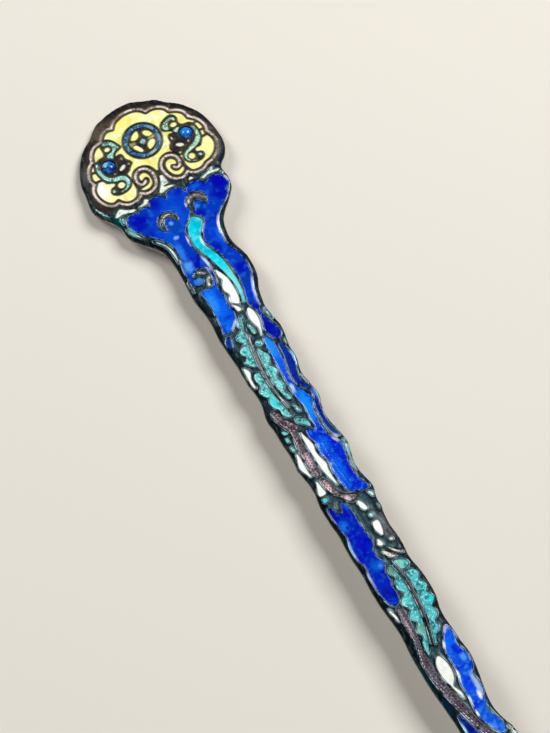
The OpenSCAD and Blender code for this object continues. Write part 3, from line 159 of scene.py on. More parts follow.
def even(points, edges, step=STEP, rounds=ROUNDS):
    """Short even steps along closed outlines.

    Each edge a to b becomes n equal parts with points a + (b - a) * k / n. Then, a few times, each
    point becomes half itself and a quarter of each neighbour. Returns the points and, for each
    one, the number of the next.
    """
    a, b = points[edges[:, 0]], points[edges[:, 1]]
    parts = np.maximum(1, np.ceil(np.linalg.norm(b - a, axis=1) / step)).astype(int)
    owner = np.repeat(np.arange(len(edges)), parts)
    first = np.cumsum(parts) - parts
    share = (np.arange(len(owner)) - first[owner]) / parts[owner]
    line = a[owner] + (b - a)[owner] * share[:, None]
    start_of = np.zeros(len(points), dtype=int)
    start_of[edges[:, 0]] = first
    after = np.arange(len(owner)) + 1
    after[first + parts - 1] = start_of[edges[:, 1]]
    before = np.argsort(after)
    for _ in range(rounds):
        line = line / 2 + (line[after] + line[before]) / 4
    return line, after


def sideways(line, after, distance):
    """The outlines moved to the left of their own direction, which is into the surface."""
    way = line[after] - line[np.argsort(after)]
    way /= np.maximum(np.linalg.norm(way, axis=1), 1e-9)[:, None]
    return line + distance * np.stack([-way[:, 1], way[:, 0]], axis=1)


def loop_areas(line, after):
    """Area inside each point's own loop, by the sum of cross products: a hole's is negative.

    The largest area marks the outer edge. A smaller positive one is an island in a pocket.
    """
    label, jump = np.arange(len(line)), after.copy()
    for _ in range(int(math.log2(len(line))) + 1):
        label, jump = np.minimum(label, label[jump]), jump[jump]
    end = line[after]
    cross = (line[:, 0] * end[:, 1] - end[:, 0] * line[:, 1]) / 2
    return np.bincount(label, weights=cross, minlength=len(line))[label]


silver_line, silver_after = even(silver_points, silver_edges)
silver_area = loop_areas(silver_line, silver_after)
on_rim = silver_area == silver_area.max()
print("steps round the walls:", len(silver_line), "of them on the outer edge:", int(on_rim.sum()))

# %% [markdown]
# Everything that follows depends on how far a spot is from the nearest wall: a wall's top is
# rounded, glass climbs where it touches, and the glass is painted darker in the corners beside
# its walls, as shade. Distances to thousands of short edges are worked out one band of the pin
# at a time, which keeps the arrays small.

# %% Distance to an outline, and which side of it
BAND = 1.5
REACH = 1.2


def measure(places, start, end, reach=REACH):
    """Distance from each place to the nearest edge, up to reach, and whether it lies inside.

    The distance is to the nearest point start + (end - start) * t with t from 0 to 1. A place is
    inside when a ray along +X crosses the edges an odd number of times.
    """
    far = np.full(len(places), reach)
    inside = np.zeros(len(places), dtype=bool)
    low, high = np.minimum(start[:, 1], end[:, 1]), np.maximum(start[:, 1], end[:, 1])
    band = np.floor(places[:, 1] / BAND).astype(int)
    for number in np.unique(band):
        mine = np.flatnonzero(band == number)
        near = (high > number * BAND - reach) & (low < (number + 1) * BAND + reach)
        a, b = start[near], end[near]
        if len(a) == 0:
            continue
        p = places[mine][:, None, :]
        way = b - a
        t = np.clip(((p - a) * way).sum(axis=2) / np.maximum((way ** 2).sum(axis=1), 1e-12), 0, 1)
        gap = np.linalg.norm(p - a - way * t[:, :, None], axis=2)
        far[mine] = np.minimum(reach, gap.min(axis=1))
        over = (a[:, 1] > p[:, :, 1]) != (b[:, 1] > p[:, :, 1])
        rise = np.where(np.abs(way[:, 1]) < 1e-12, 1e-12, way[:, 1])
        at = a[:, 0] + (p[:, :, 1] - a[:, 1]) / rise * way[:, 0]
        inside[mine] = (over & (at > p[:, :, 0])).sum(axis=1) % 2 == 1
    return far, inside


spot_far, spot_inside = measure(np.array([[0.0, along(60.0)]]), silver_line, silver_line[silver_after])
spot_kind = "wall" if spot_inside[0] else "glass"
print("a spot 60 mm down is", spot_kind, "and lies", round(float(spot_far[0]), 2), "mm from its edge")

# %% [markdown]
# A surface between outlines is filled with points and then joined by triangles. A constrained
# Delaunay triangulation keeps the outline's own edges, and rows of points at a few fixed
# distances from the edge give a rounded wall or a climbing rim its even curve.

# %% Fill an outline with triangles
ROW_SHARE = 0.87


def fill(line, after, spacing=None, rows=()):
    """Points and upward triangles inside closed outlines.

    Rows of points follow the outline at the given distances, and a staggered grid, whose rows are
    a little nearer to each other than its columns, fills the rest. The outline's own points come
    first. A triangle is kept when its middle is inside, or when it lies to the left of a step.
    """
    start, end = line, line[after]
    extra = []
    for distance in rows:
        row = sideways(line, after, distance)
        far, inside = measure(row, start, end)
        extra.append(row[inside & (far > 0.9 * distance)])
    if spacing:
        low, high = line.min(axis=0), line.max(axis=0)
        x = np.arange(low[0], high[0], spacing)
        y = np.arange(low[1], high[1], spacing * ROW_SHARE)
        grid = np.stack(np.meshgrid(x, y), axis=2)
        grid[1::2, :, 0] += spacing / 2
        grid = grid.reshape(-1, 2)
        far, inside = measure(grid, start, end)
        extra.append(grid[inside & (far > (rows[-1] if rows else 0) + 0.5 * spacing)])
    places = np.concatenate([line] + extra)
    border = np.stack([np.arange(len(line)), after], axis=1)
    made = delaunay_2d_cdt(places.tolist(), border.tolist(), [], 0, 1e-7)
    if len(made[0]) != len(places):
        print("the outline crosses itself in", len(made[0]) - len(places), "places")
    places = np.array([tuple(v) for v in made[0]])
    faces = np.array(made[2])
    _, inside = measure(places[faces].mean(axis=1), start, end)
    tips = np.append(after, np.full(len(places) - len(line), -1))
    turned = faces[:, [1, 2, 0]]
    inside |= (tips[faces] == turned).any(axis=1)
    inside &= ~(tips[turned] == faces).any(axis=1)
    return places, faces[inside]


star_line, star_after = even(*outline("coin_star"))
print("the coin's star takes", len(fill(star_line, star_after)[1]), "triangles")

# %% [markdown]
# Nothing on the pin is perfectly even. A slow ripple, the same on every run, is added to heights
# and later to colours. It is a sum of a few waves in different directions, which is cheap for
# whole arrays and has no seams.

# %% A slow ripple
def ripple(places, length, seed, waves=7):
    """Mean of sines of (place . direction / length + phase), between about -1 and 1."""
    draw = np.random.default_rng(seed)
    turn = draw.uniform(0, 2 * np.pi, waves)
    pace = 2 * np.pi / (length * draw.uniform(0.7, 1.5, waves))
    way = np.stack([np.cos(turn), np.sin(turn)]) * pace
    return np.sin(places[:, :2] @ way + draw.uniform(0, 2 * np.pi, waves)).sum(axis=1) / waves ** 0.5 / 1.4


def rounded(far, radius):
    """How much a quarter-round edge has fallen at a distance: r - sqrt(r^2 - (r - d)^2)."""
    into = radius - np.minimum(far, radius)
    return radius - np.sqrt(radius ** 2 - into ** 2)


print("a 0.12 mm round has fallen", round(float(rounded(0.04, 0.12)), 3), "mm at a third of its way")

# %% [markdown]
# The silver is one closed surface: a top with rounded walls, a wall down to each pocket's floor,
# the outer side, and a back with soft edges. The outer edge is rounder than the thin walls,
# because a thumb has rubbed it for a century. The solid in the model has sharp edges, so this
# surface takes its place, inside the same outline.

# %% Turn surfaces into a mesh object
def add_mesh(name, places, faces, **values):
    """A mesh object from places in millimetres, triangles, and one number a point for each name."""
    mesh = bpy.data.meshes.new(name)
    mesh.vertices.add(len(places))
    mesh.vertices.foreach_set("co", (places * MM).ravel())
    mesh.loops.add(faces.size)
    mesh.loops.foreach_set("vertex_index", faces.ravel())
    mesh.polygons.add(len(faces))
    mesh.polygons.foreach_set("loop_start", np.arange(len(faces)) * 3)
    mesh.update(calc_edges=True)
    mesh.validate()
    for key, numbers in values.items():
        made = mesh.attributes.new(key, "FLOAT", "POINT")
        made.data.foreach_set("value", np.asarray(numbers, dtype=np.float32))
    mesh.shade_smooth()
    piece = bpy.data.objects.new(name, mesh)
    bpy.context.scene.collection.objects.link(piece)
    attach(piece, "root")
    return piece


def skirt(upper, lower, after):
    """Two triangles for each step of an outline, between its upper and its lower points."""
    return np.concatenate([
        np.stack([upper, lower, upper[after]], axis=1),
        np.stack([upper[after], lower, lower[after]], axis=1)])


def part_of(line, after, kept):
    """The loops that are kept, with their points numbered anew."""
    number = np.cumsum(kept) - 1
    return line[kept], number[after[kept]]


# %% The silver pin
WALL_ROUND = 0.12
CREST_WIDE = 0.16
GROUND_DEEP = 0.09
SHOULDER = 0.75
SIDE_ROUND = 0.16
BACK_ROUND = 0.25
SILVER_SPACING, SILVER_ROWS = 0.33, (0.05, 0.12, 0.22, 0.36)
BACK_SPACING, BACK_ROWS = 0.9, (0.1, BACK_ROUND)
BACK_BELOW = 0.6
# Where the low ground between the walls ends, and where the bare silver starts, with their lengths.
PLAIN_FROM, PLAIN_OVER = 104.0, 12.0
BARE_FROM, BARE_OVER = 113.0, 6.0


def eased(share):
    """An S-curve from 0 to 1: 3 t^2 - 2 t^3, with t kept between 0 and 1."""
    t = np.clip(share, 0, 1)
    return t * t * (3 - 2 * t)


def silver_surface():
    """Top height = arch + wall top - the largest of three falls: rounded(distance to a pocket),
    rounded(distance to the side), and past the crest the ground's depth and the wide shoulder.
    The back = arch + rounded(distance to the side)."""
    rim_line, rim_after = part_of(silver_line, silver_after, on_rim)
    hole_line, hole_after = part_of(silver_line, silver_after, ~on_rim)

    top, faces = fill(silver_line, silver_after, SILVER_SPACING, SILVER_ROWS)
    far, _ = measure(top, hole_line, hole_line[hole_after])
    rim_far, _ = measure(top, rim_line, rim_line[rim_after])
    past_crest = eased((far - CREST_WIDE) / 0.2)
    plain = eased((along(top[:, 1]) - PLAIN_FROM) / PLAIN_OVER)
    ground = GROUND_DEEP * (1 + 0.5 * ripple(top, 0.9, 6)) * (1 - plain) + rounded(rim_far, SHOULDER)
    fall = np.maximum(rounded(far, WALL_ROUND), rounded(rim_far, SIDE_ROUND))
    fall = np.maximum(fall, past_crest * ground)
    wear = 0.012 * ripple(top, 1.7, 3) + 0.006 * ripple(top, 0.6, 4)
    height = WALL_TOP - fall + wear * np.minimum(1, far / WALL_ROUND)
    count = len(silver_line)

    back, back_faces = fill(rim_line, rim_after, BACK_SPACING, BACK_ROWS)
    back_far, _ = measure(back, rim_line, rim_line[rim_after])
    back_height = rounded(back_far, BACK_ROUND) + 0.008 * ripple(back, 4.0, 5) * (back_far > 0.2)

    floor, floor_faces = fill(hole_line, np.argsort(hole_after))
    at_back, at_floor = len(top), len(top) + len(back)
    lower = np.empty(count, dtype=int)
    lower[on_rim] = at_back + np.arange(len(rim_line))
    lower[~on_rim] = at_floor + np.arange(len(hole_line))

    flat = np.concatenate([top, back, floor])
    z = np.concatenate([height, back_height, np.full(len(floor), PLATE_T)]) + arch(flat[:, 1])
    every = np.concatenate([
        faces, back_faces[:, ::-1] + at_back, floor_faces + at_floor,
        skirt(np.arange(count), lower, silver_after)])
    none = np.zeros(len(back) + len(floor))
    return (np.column_stack([flat, z]), every,
            np.concatenate([far, none]), np.concatenate([rim_far, back_far, none[len(back):]]))


places, faces, wall_far, rim_far = silver_surface()
on_back = places[:, 2] - arch(places[:, 1]) < BACK_BELOW
bare = np.maximum(np.clip((along(places[:, 1]) - BARE_FROM) / BARE_OVER, 0, 1), on_back)
silver = add_mesh("dressed_silver", places, faces, wall=wall_far, rim=rim_far, bare=bare)
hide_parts("silver_pin")
print("silver:", len(places), "points,", len(faces), "triangles")

# %% [markdown]
# The glass of each cell is its own small closed piece. Melted glass climbs the walls that it
# touches, which leaves a bright line round every cell when light falls across it. Wide fields
# sink a little in the middle, and small cells stay full and round. Under the leaves the silver
# was cut with veins before it was enamelled, so the veins belong to the leaf's own shape: they
# are worked out here as a number for each point, and the colour reads it later. The glass reaches
# a little way under its walls, so that no gap shows, but not where that would cross a thin wall.

# %% Glass in a cell
GROW = 0.1
CLIMB = 0.03
CUT_DEEP = 0.03
FOOT = 0.02
MIDDLE = {"field": -0.035, "full": 0.05}
GLASS_SPACING, CUT_SPACING, GLASS_ROWS = 0.22, 0.1, (0.1, 0.2)


def grown(line, after, distance):
    """The outlines moved outwards by a distance, but not where they would meet themselves.

    A moved point that lies nearer than 0.9 of the distance to the old outline has crossed a thin
    wall or a sharp corner. It and its neighbours stay, and the steps beside them move part of the
    way.
    """
    moved = sideways(line, after, -distance)
    far, _ = measure(moved, line, line[after])
    before = np.argsort(after)
    share = (far > 0.9 * distance).astype(float)
    for _ in range(2):
        share = np.minimum(share, np.minimum(share[after], share[before]))
    for _ in range(2):
        share = np.minimum(share, share / 2 + (share[after] + share[before]) / 4)
    return line + (moved - line) * share[:, None]


def glass(node, form="field", cuts=None):
    """Height = enamel top + climb * exp(-distance / 0.12) and the form of the middle: a field
    sinks and a full cell swells, both as 1 - exp(-distance / 0.5). cuts gives a number for each
    point, by which the graver's depth is multiplied."""
    line, after = even(*outline(node))
    line = grown(line, after, GROW)
    top, faces = fill(line, after, GLASS_SPACING if cuts is None else CUT_SPACING, GLASS_ROWS)
    far, _ = measure(top, line, line[after])
    height = ENAMEL_TOP + CLIMB * np.exp(-far / 0.12) + MIDDLE[form] * (1 - np.exp(-far / 0.5))
    height += 0.006 * ripple(top, 1.1, 11) * np.minimum(1, far / 0.3)
    marks = np.zeros(len(top)) if cuts is None else cuts(top, far)
    height -= CUT_DEEP * marks
    under, under_faces = fill(line, after)
    count = len(line)
    flat = np.concatenate([top, under])
    z = np.concatenate([height, np.full(len(under), PLATE_T + FOOT)]) + arch(flat[:, 1])
    upper, lower = np.arange(count), np.arange(count) + len(top)
    every = np.concatenate([faces, under_faces[:, ::-1] + len(top), skirt(upper, lower, after)])
    none = np.zeros(len(under))
    piece = add_mesh("glass_" + node, np.column_stack([flat, z]), every,
                     wall=np.concatenate([far, none]), marks=np.concatenate([marks, none]))
    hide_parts(node)
    return piece


# %% [markdown]
# The leaves carry short slanted cuts beside their midribs, and the branches two staggered rows
# of punched dots. Both were made with a graver before the glass went on. The cuts leave the midrib
# towards the leaf's tip on both sides, so the way along the pin less the way across it is the same
# all along one cut.

# %% Cuts under the leaves and dots along the branches
UPPER_MIDRIB = [(42.3, -0.9), (48.0, -1.8), (50.0, -1.8), (53.0, -1.5), (55.2, -1.05)]
LOWER_MIDRIB = [(81.7, 0.5), (84.0, 1.13), (86.0, 1.16), (90.0, 0.74), (93.7, -0.22)]
UPPER_BRANCH = [(54.5, -3.4), (56.4, -2.95), (58.1, -2.1), (59.3, -2.35), (62.8, -2.45), (65.3, -2.35),
                (66.9, -2.05), (68.3, -1.65), (69.6, -0.85), (70.5, 0.2)]
LOWER_BRANCH = [(87.2, -1.95), (92.1, -1.8), (95.6, -2.3), (99.2, -1.9), (104.0, -0.7), (108.0, 0.85),
                (110.3, 2.5)]
FIELD_ROW = [(61.6, 0.3), (64.0, 0.25), (66.5, 0.5), (69.4, 0.8)]
CUTS_APART, CUT_SLOPE = 0.44, 1.1
DOTS_APART, DOT_RADIUS = 0.46, 0.13


def beside(places, route):
    """How far right of a route of (s, x) rows each place lies, measured across the pin."""
    s, x = np.array(route).T
    return places[:, 0] - np.interp(along(places[:, 1]), s, x - X_MIDDLE)


def leaf_cuts(route):
    """Waves of (s - slope * distance from the midrib) / spacing, on a shade that is deepest at the
    midrib and gone 1.35 mm from it."""
    def cuts(places, far):
        off = np.abs(beside(places, route))
        s = along(places[:, 1]) + 0.12 * ripple(places, 1.1, 21)
        line = eased(1.5 * np.cos(2 * np.pi * (s - CUT_SLOPE * off) / CUTS_APART) - 0.4)
        near = np.clip(1.35 - off, 0, 1)
        return 0.4 * near ** 2 + 0.7 * line * np.clip(near + 0.25 * ripple(places, 0.8, 23), 0, 1)
    return cuts


def branch_dots(route, offset):
    """Dots at s = k * spacing, an offset left and right of the route in turn. Each is as deep as
    1.3 - (distance / radius)^2, from 0 to 1."""
    def dots(places, far):
        off = beside(places, route)
        s = along(places[:, 1]) + 0.05 * ripple(places, 1.2, 22)
        side = np.where(off > 0, 0.5, 0.0)
        along_row = (s / DOTS_APART + side + 0.5) % 1 - 0.5
        away = np.hypot(along_row * DOTS_APART, np.abs(off) - offset)
        on_route = np.clip((s - route[0][0]) / 0.3, 0, 1) * np.clip((route[-1][0] - s) / 0.3, 0, 1)
        return np.clip(1.3 - (away / DOT_RADIUS) ** 2, 0, 1) * np.clip(far / 0.08, 0, 1) * on_route
    return dots


branch_long = LOWER_BRANCH[-1][0] - LOWER_BRANCH[0][0]
print("dots in each row of the lower branch:", round(branch_long / DOTS_APART))

# %% [markdown]
# Wide fields and long leaves sink a little as they cool, and every other cell is filled to the
# top. The marks that the graver cut belong to five of the cells.

# %% Every cell of glass
MARKED = {
    "upper_leaf": leaf_cuts(UPPER_MIDRIB), "lower_leaf": leaf_cuts(LOWER_MIDRIB),
    "upper_branch": branch_dots(UPPER_BRANCH, 0.2), "lower_branch": branch_dots(LOWER_BRANCH, 0.2),
    "lower_field": branch_dots(FIELD_ROW, 0.3)}
WIDE = {"head_ground", "coin_quarters", "upper_field", "cyan_band", "upper_leaf", "deep_blue_strip",
        "lower_field", "left_field", "lower_leaf", "right_field", "end_field", "upper_branch",
        "lower_branch"}
DOMES = {"left_dome", "right_dome"}
slot_of = {row["node"]: row["material_slot"] for row in frame["record"]["subparts"]}
cells = {}
for node in frame["nodes"]:
    if node == "silver_pin" or node in DOMES:
        continue
    cells[node] = glass(node, "field" if node in WIDE else "full", MARKED.get(node))
print("cells of glass:", len(cells), "with", sum(len(c.data.polygons) for c in cells.values()), "triangles")

# %% [markdown]
# Each bat has a round body: a drop of blue glass that stands above the walls. It is a cap of a
# ball, turned round its own axis, and closed underneath in its pocket.

# %% The two blue drops
RINGS, TURNS = 14, 56
DROP_RISE = 0.8


def drop(node):
    """Ball cap: height = rise - ball + sqrt(ball^2 - r^2), with ball = (R^2 + rise^2) / (2 rise)."""
    low, high = (np.array(corner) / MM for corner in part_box(node))
    centre, radius = (low + high)[:2] / 2, (high[0] - low[0]) / 2 + GROW
    ball = (radius ** 2 + DROP_RISE ** 2) / (2 * DROP_RISE)
    share = np.sin(np.linspace(0, np.pi / 2, RINGS + 1)[1:])
    turn = np.arange(TURNS) * 2 * np.pi / TURNS
    r = (radius * share)[:, None]
    rings = np.stack([centre[0] + r * np.cos(turn), centre[1] + r * np.sin(turn),
                      DROP_RISE - ball + np.sqrt(ball ** 2 - r ** 2) + 0 * turn], axis=2).reshape(-1, 3)
    places = np.concatenate([[[*centre, DROP_RISE]], rings, [[*centre, FOOT]]])
    places[:, 2] += PLATE_T + arch(places[:, 1])
    ring = 1 + np.arange(TURNS)
    after = np.roll(ring, -1)
    faces = [np.stack([np.zeros(TURNS, dtype=int), ring, after], axis=1)]
    for step in range(RINGS - 1):
        inner, outer = ring + step * TURNS, ring + (step + 1) * TURNS
        inner_after, outer_after = after + step * TURNS, after + (step + 1) * TURNS
        faces.append(np.stack([inner, outer, outer_after], axis=1))
        faces.append(np.stack([inner, outer_after, inner_after], axis=1))
    last = ring + (RINGS - 1) * TURNS
    faces.append(np.stack([np.full(TURNS, len(places) - 1), np.roll(last, -1), last], axis=1))
    far = radius - np.hypot(*(places[:, :2] - centre).T)
    piece = add_mesh("glass_" + node, places, np.concatenate(faces), wall=far, marks=0 * far)
    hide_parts(node)
    return piece


for node in sorted(DOMES):
    cells[node] = drop(node)
print("drops:", sorted(DOMES))

# %% [markdown]
# A material is a sum of simple things: a main colour, slow clouds of a deeper and a paler one,
# specks, a few places where the fire left the glass lighter or darker, and painted highlights and
# painted shade. Written as nodes this is a web of wires, so a small class lets plain arithmetic add
# the Math nodes. Colours and vectors go through Mix and Vector Math, because a Math node would turn
# them grey.

# %% Arithmetic for materials
def operator(operation, turned=False):
    """A Python operator that adds one Math node, with its two sides swapped if turned."""
    def apply(self, other):
        pair = (other, self) if turned else (self, other)
        return self.paint.node("ShaderNodeMath", {"operation": operation}, dict(enumerate(pair)))
    return apply


class Wire:
    """The output of a node. Arithmetic on it adds Math nodes to its material."""
    __add__ = __radd__ = operator("ADD")
    __mul__ = __rmul__ = operator("MULTIPLY")
    __sub__, __rsub__ = operator("SUBTRACT"), operator("SUBTRACT", True)
    __truediv__, __rtruediv__ = operator("DIVIDE"), operator("DIVIDE", True)
    __pow__ = operator("POWER")

    def __init__(self, paint, socket):
        self.paint, self.socket = paint, socket


class Paint:
    """One material: its nodes, its place in millimetres and its masks."""

    def __init__(self, name):
        self.material = bpy.data.materials.new(name)
        self.material.use_nodes = True
        self.tree = self.material.node_tree
        self.shader = self.tree.nodes["Principled BSDF"]
        where = self.node("ShaderNodeTexCoord", out="Object")
        self.place = self.vector("SCALE", where, Scale=1 / MM)
        self.ragged = None

    def node(self, kind, settings=None, values=None, out=0):
        """Adds a node: its settings first, then values or wires for its sockets."""
        made = self.tree.nodes.new(kind)
        for key, value in (settings or {}).items():
            setattr(made, key, value)
        for key, value in (values or {}).items():
            if isinstance(value, Wire):
                self.tree.links.new(value.socket, made.inputs[key])
            else:
                made.inputs[key].default_value = value
        return Wire(self, made.outputs[out])

    def vector(self, operation, *sides, **named):
        """Vector Math on its sides. LENGTH gives a number."""
        values = {**dict(enumerate(sides)), **named}
        out = "Value" if operation == "LENGTH" else "Vector"
        return self.node("ShaderNodeVectorMath", {"operation": operation}, values, out)

    def attribute(self, name):
        """The number that each point of the mesh has under this name."""
        return self.node("ShaderNodeAttribute", {"attribute_name": name}, out="Fac")

    def clouds(self, size, detail=2.0, at=(0, 0, 0), rough=0.5):
        """Noise from 0 to 1 whose clouds are about so many millimetres wide."""
        place = self.vector("ADD", self.place, at)
        return self.node("ShaderNodeTexNoise", None, {
            "Vector": place, "Scale": 1 / size, "Detail": detail, "Roughness": rough}, "Fac")

    def between(self, value, low, high):
        """0 at low, 1 at high and an S-curve from one to the other."""
        return self.node("ShaderNodeMapRange", {"interpolation_type": "SMOOTHSTEP"}, {
            "Value": value, "From Min": low, "From Max": high})

    def mix(self, share, first, second, blend="MIX"):
        """A colour: first where the share is 0, second where it is 1."""
        made = self.node("ShaderNodeMix", {"data_type": "RGBA", "blend_type": blend}, {
            0: share, 6: first, 7: second})
        return Wire(self, made.socket.node.outputs[2])

    def patch(self, x, s, across, along_pin, soft=0.9):
        """1 inside an oval about a place on the pin and 0 outside, with an uneven edge."""
        shifted = self.vector("SUBTRACT", self.place, (x - X_MIDDLE, along(s), 0))
        scaled = self.vector("MULTIPLY", shifted, (1 / across, 1 / along_pin, 0))
        self.ragged = self.ragged or self.clouds(0.6)
        reach = self.vector("LENGTH", scaled) + 0.9 * self.ragged - 0.45
        return self.between(reach, 1.15, 1.15 - soft)

    def finish(self, pieces, **sockets):
        """Sets the shader's sockets, whose names have _ for a space, and gives the pieces the material."""
        for key, value in sockets.items():
            name = key.replace("_", " ")
            if isinstance(value, Wire):
                self.tree.links.new(value.socket, self.shader.inputs[name])
            else:
                self.shader.inputs[name].default_value = value
        for piece in pieces:
            piece.data.materials.clear()
            piece.data.materials.append(self.material)


def on_screen(red, green, blue):
    """A colour from its 0 to 255 screen values, as the linear light that a shader needs."""
    shown = np.array([red, green, blue]) / 255
    light = np.where(shown < 0.04, shown / 12.92, ((shown + 0.055) / 1.055) ** 2.4)
    return (*[float(v) for v in light], 1.0)


print("a mid grey of 128 is", round(on_screen(128, 128, 128)[0], 3), "as light")

# %% [markdown]
# Each glass has a main colour, clouds of a deeper one where it lies thick, and clouds of a paler
# one where tiny bubbles stayed in it. Small pits are dark. Where it climbs a wall it is thin, so
# the bright silver under it shows as a broken pale line, and that line is also a painted highlight
# along the walls. Right beside the walls the glass is painted darker, as shade. The same batch of
# glass came out differently from cell to cell, so a cell can have a row under its own name. The
# fire or a repair left lighter or darker places, and a short table gives each as an oval; the same
# table also holds painted highlights and painted shade, as on the two drops. The last table lists
# painted highlights on the walls, where they catch light only here and there: the glass beside them
# has them painted too.

# %% The colours of the glass
# look: main, deep and pale colour, share of deep, share of pale, cloud width in mm, then the
# colour of the line along the walls and its share
GLASS = {
    "pale_yellow": [(243, 239, 150), (222, 212, 104), (253, 253, 214), 0.7, 0.8, 1.8, (255, 255, 215), 0.2],
    "pink": [(196, 178, 168), (92, 78, 70), (250, 238, 228), 0.9, 0.9, 0.7, (250, 240, 232), 0.3],
    "mid_blue": [(42, 94, 138), (0, 34, 74), (138, 184, 210), 0.9, 0.7, 0.7, (170, 204, 225), 0.5],
    "light_blue": [(140, 186, 198), (92, 134, 142), (182, 224, 234), 0.6, 0.7, 0.6, (215, 240, 245), 0.5],
    "blossom_middle": [
        (178, 230, 226), (120, 170, 166), (200, 250, 246), 0.6, 0.7, 0.6, (215, 240, 245), 0.3],
    "left_slivers": [(104, 182, 190), (0, 56, 58), (212, 248, 244), 1.0, 0.9, 1.0, (220, 245, 240), 0.4],
    "right_slivers": [(124, 200, 214), (0, 130, 150), (214, 246, 248), 1.0, 0.9, 1.0, (220, 245, 245), 0.4],
    "turquoise": [(100, 206, 206), (4, 126, 134), (184, 252, 250), 0.9, 0.9, 0.6, (205, 248, 240), 0.4],
    "lower_leaf": [(80, 196, 204), (4, 124, 132), (168, 244, 244), 0.9, 0.9, 0.7, (205, 248, 240), 0.3],
    "left_bat_wings": [(132, 196, 184), (8, 66, 54), (206, 255, 246), 0.9, 1.0, 0.6, (215, 245, 230), 0.4],
    "right_bat_wings": [(160, 210, 182), (50, 96, 70), (224, 252, 228), 0.9, 0.9, 0.6, (225, 245, 220), 0.4],
    "cream": [(230, 230, 216), (160, 160, 150), (255, 254, 240), 0.8, 1.0, 0.5, (255, 252, 240), 0.5],
    "left_crescent": [(196, 194, 184), (54, 58, 56), (255, 254, 240), 1.0, 1.0, 0.6, (255, 252, 240), 0.5],
    "lower_petals": [(247, 251, 246), (218, 230, 220), (253, 255, 253), 0.6, 0.8, 0.8, (235, 245, 250), 0.3],
    "azure": [(8, 88, 184), (0, 28, 104), (50, 150, 235), 0.9, 0.6, 0.8, (80, 160, 240), 0.3],
    "white": [(248, 252, 249), (222, 234, 228), (255, 255, 255), 0.5, 0.8, 0.9, (235, 245, 250), 0.3],
    "white_collar": [(226, 238, 228), (160, 180, 170), (250, 255, 248), 0.9, 0.7, 0.6, (235, 250, 245), 0.4],
    "royal_blue": [(0, 52, 186), (0, 6, 162), (24, 104, 216), 0.9, 0.5, 2.2, (120, 160, 230), 0.6],
    "lower_field": [(0, 46, 208), (0, 4, 182), (26, 134, 242), 0.8, 0.6, 1.2, (120, 170, 240), 0.7],
    "right_field": [(4, 84, 224), (0, 26, 196), (60, 142, 244), 0.8, 0.6, 1.3, (190, 212, 244), 0.6],
    "left_field": [(0, 34, 182), (0, 2, 170), (10, 86, 202), 0.8, 0.5, 1.2, (110, 150, 215), 0.6],
    "end_field": [(0, 22, 134), (0, 2, 112), (10, 60, 156), 0.7, 0.6, 0.9, (90, 140, 190), 0.6],
    "mauve": [(104, 88, 102), (56, 40, 54), (206, 188, 198), 0.9, 0.7, 0.7, (190, 176, 186), 0.4],
    "lower_branch": [(94, 86, 100), (34, 26, 42), (160, 150, 164), 0.8, 0.7, 0.8, (160, 160, 175), 0.3],
    "right_crescent": [(132, 110, 122), (84, 66, 78), (206, 194, 196), 0.9, 0.7, 0.6, (205, 190, 200), 0.4],
    "cyan": [(0, 212, 240), (0, 160, 188), (96, 232, 242), 0.6, 0.5, 1.6, (180, 250, 250), 0.5],
    "brown_pink": [(162, 168, 174), (92, 108, 112), (212, 222, 216), 0.8, 0.9, 0.5, (200, 205, 205), 0.4],
    "lower_midrib": [(54, 70, 76), (8, 40, 42), (104, 108, 114), 0.9, 0.7, 0.8, (110, 125, 130), 0.4],
    "deep_blue": [(0, 42, 152), (0, 14, 124), (10, 66, 170), 0.8, 0.6, 1.0, (80, 120, 180), 0.5],
    "green": [(164, 186, 170), (90, 118, 104), (204, 222, 198), 0.7, 0.8, 0.5, (200, 220, 200), 0.4]}
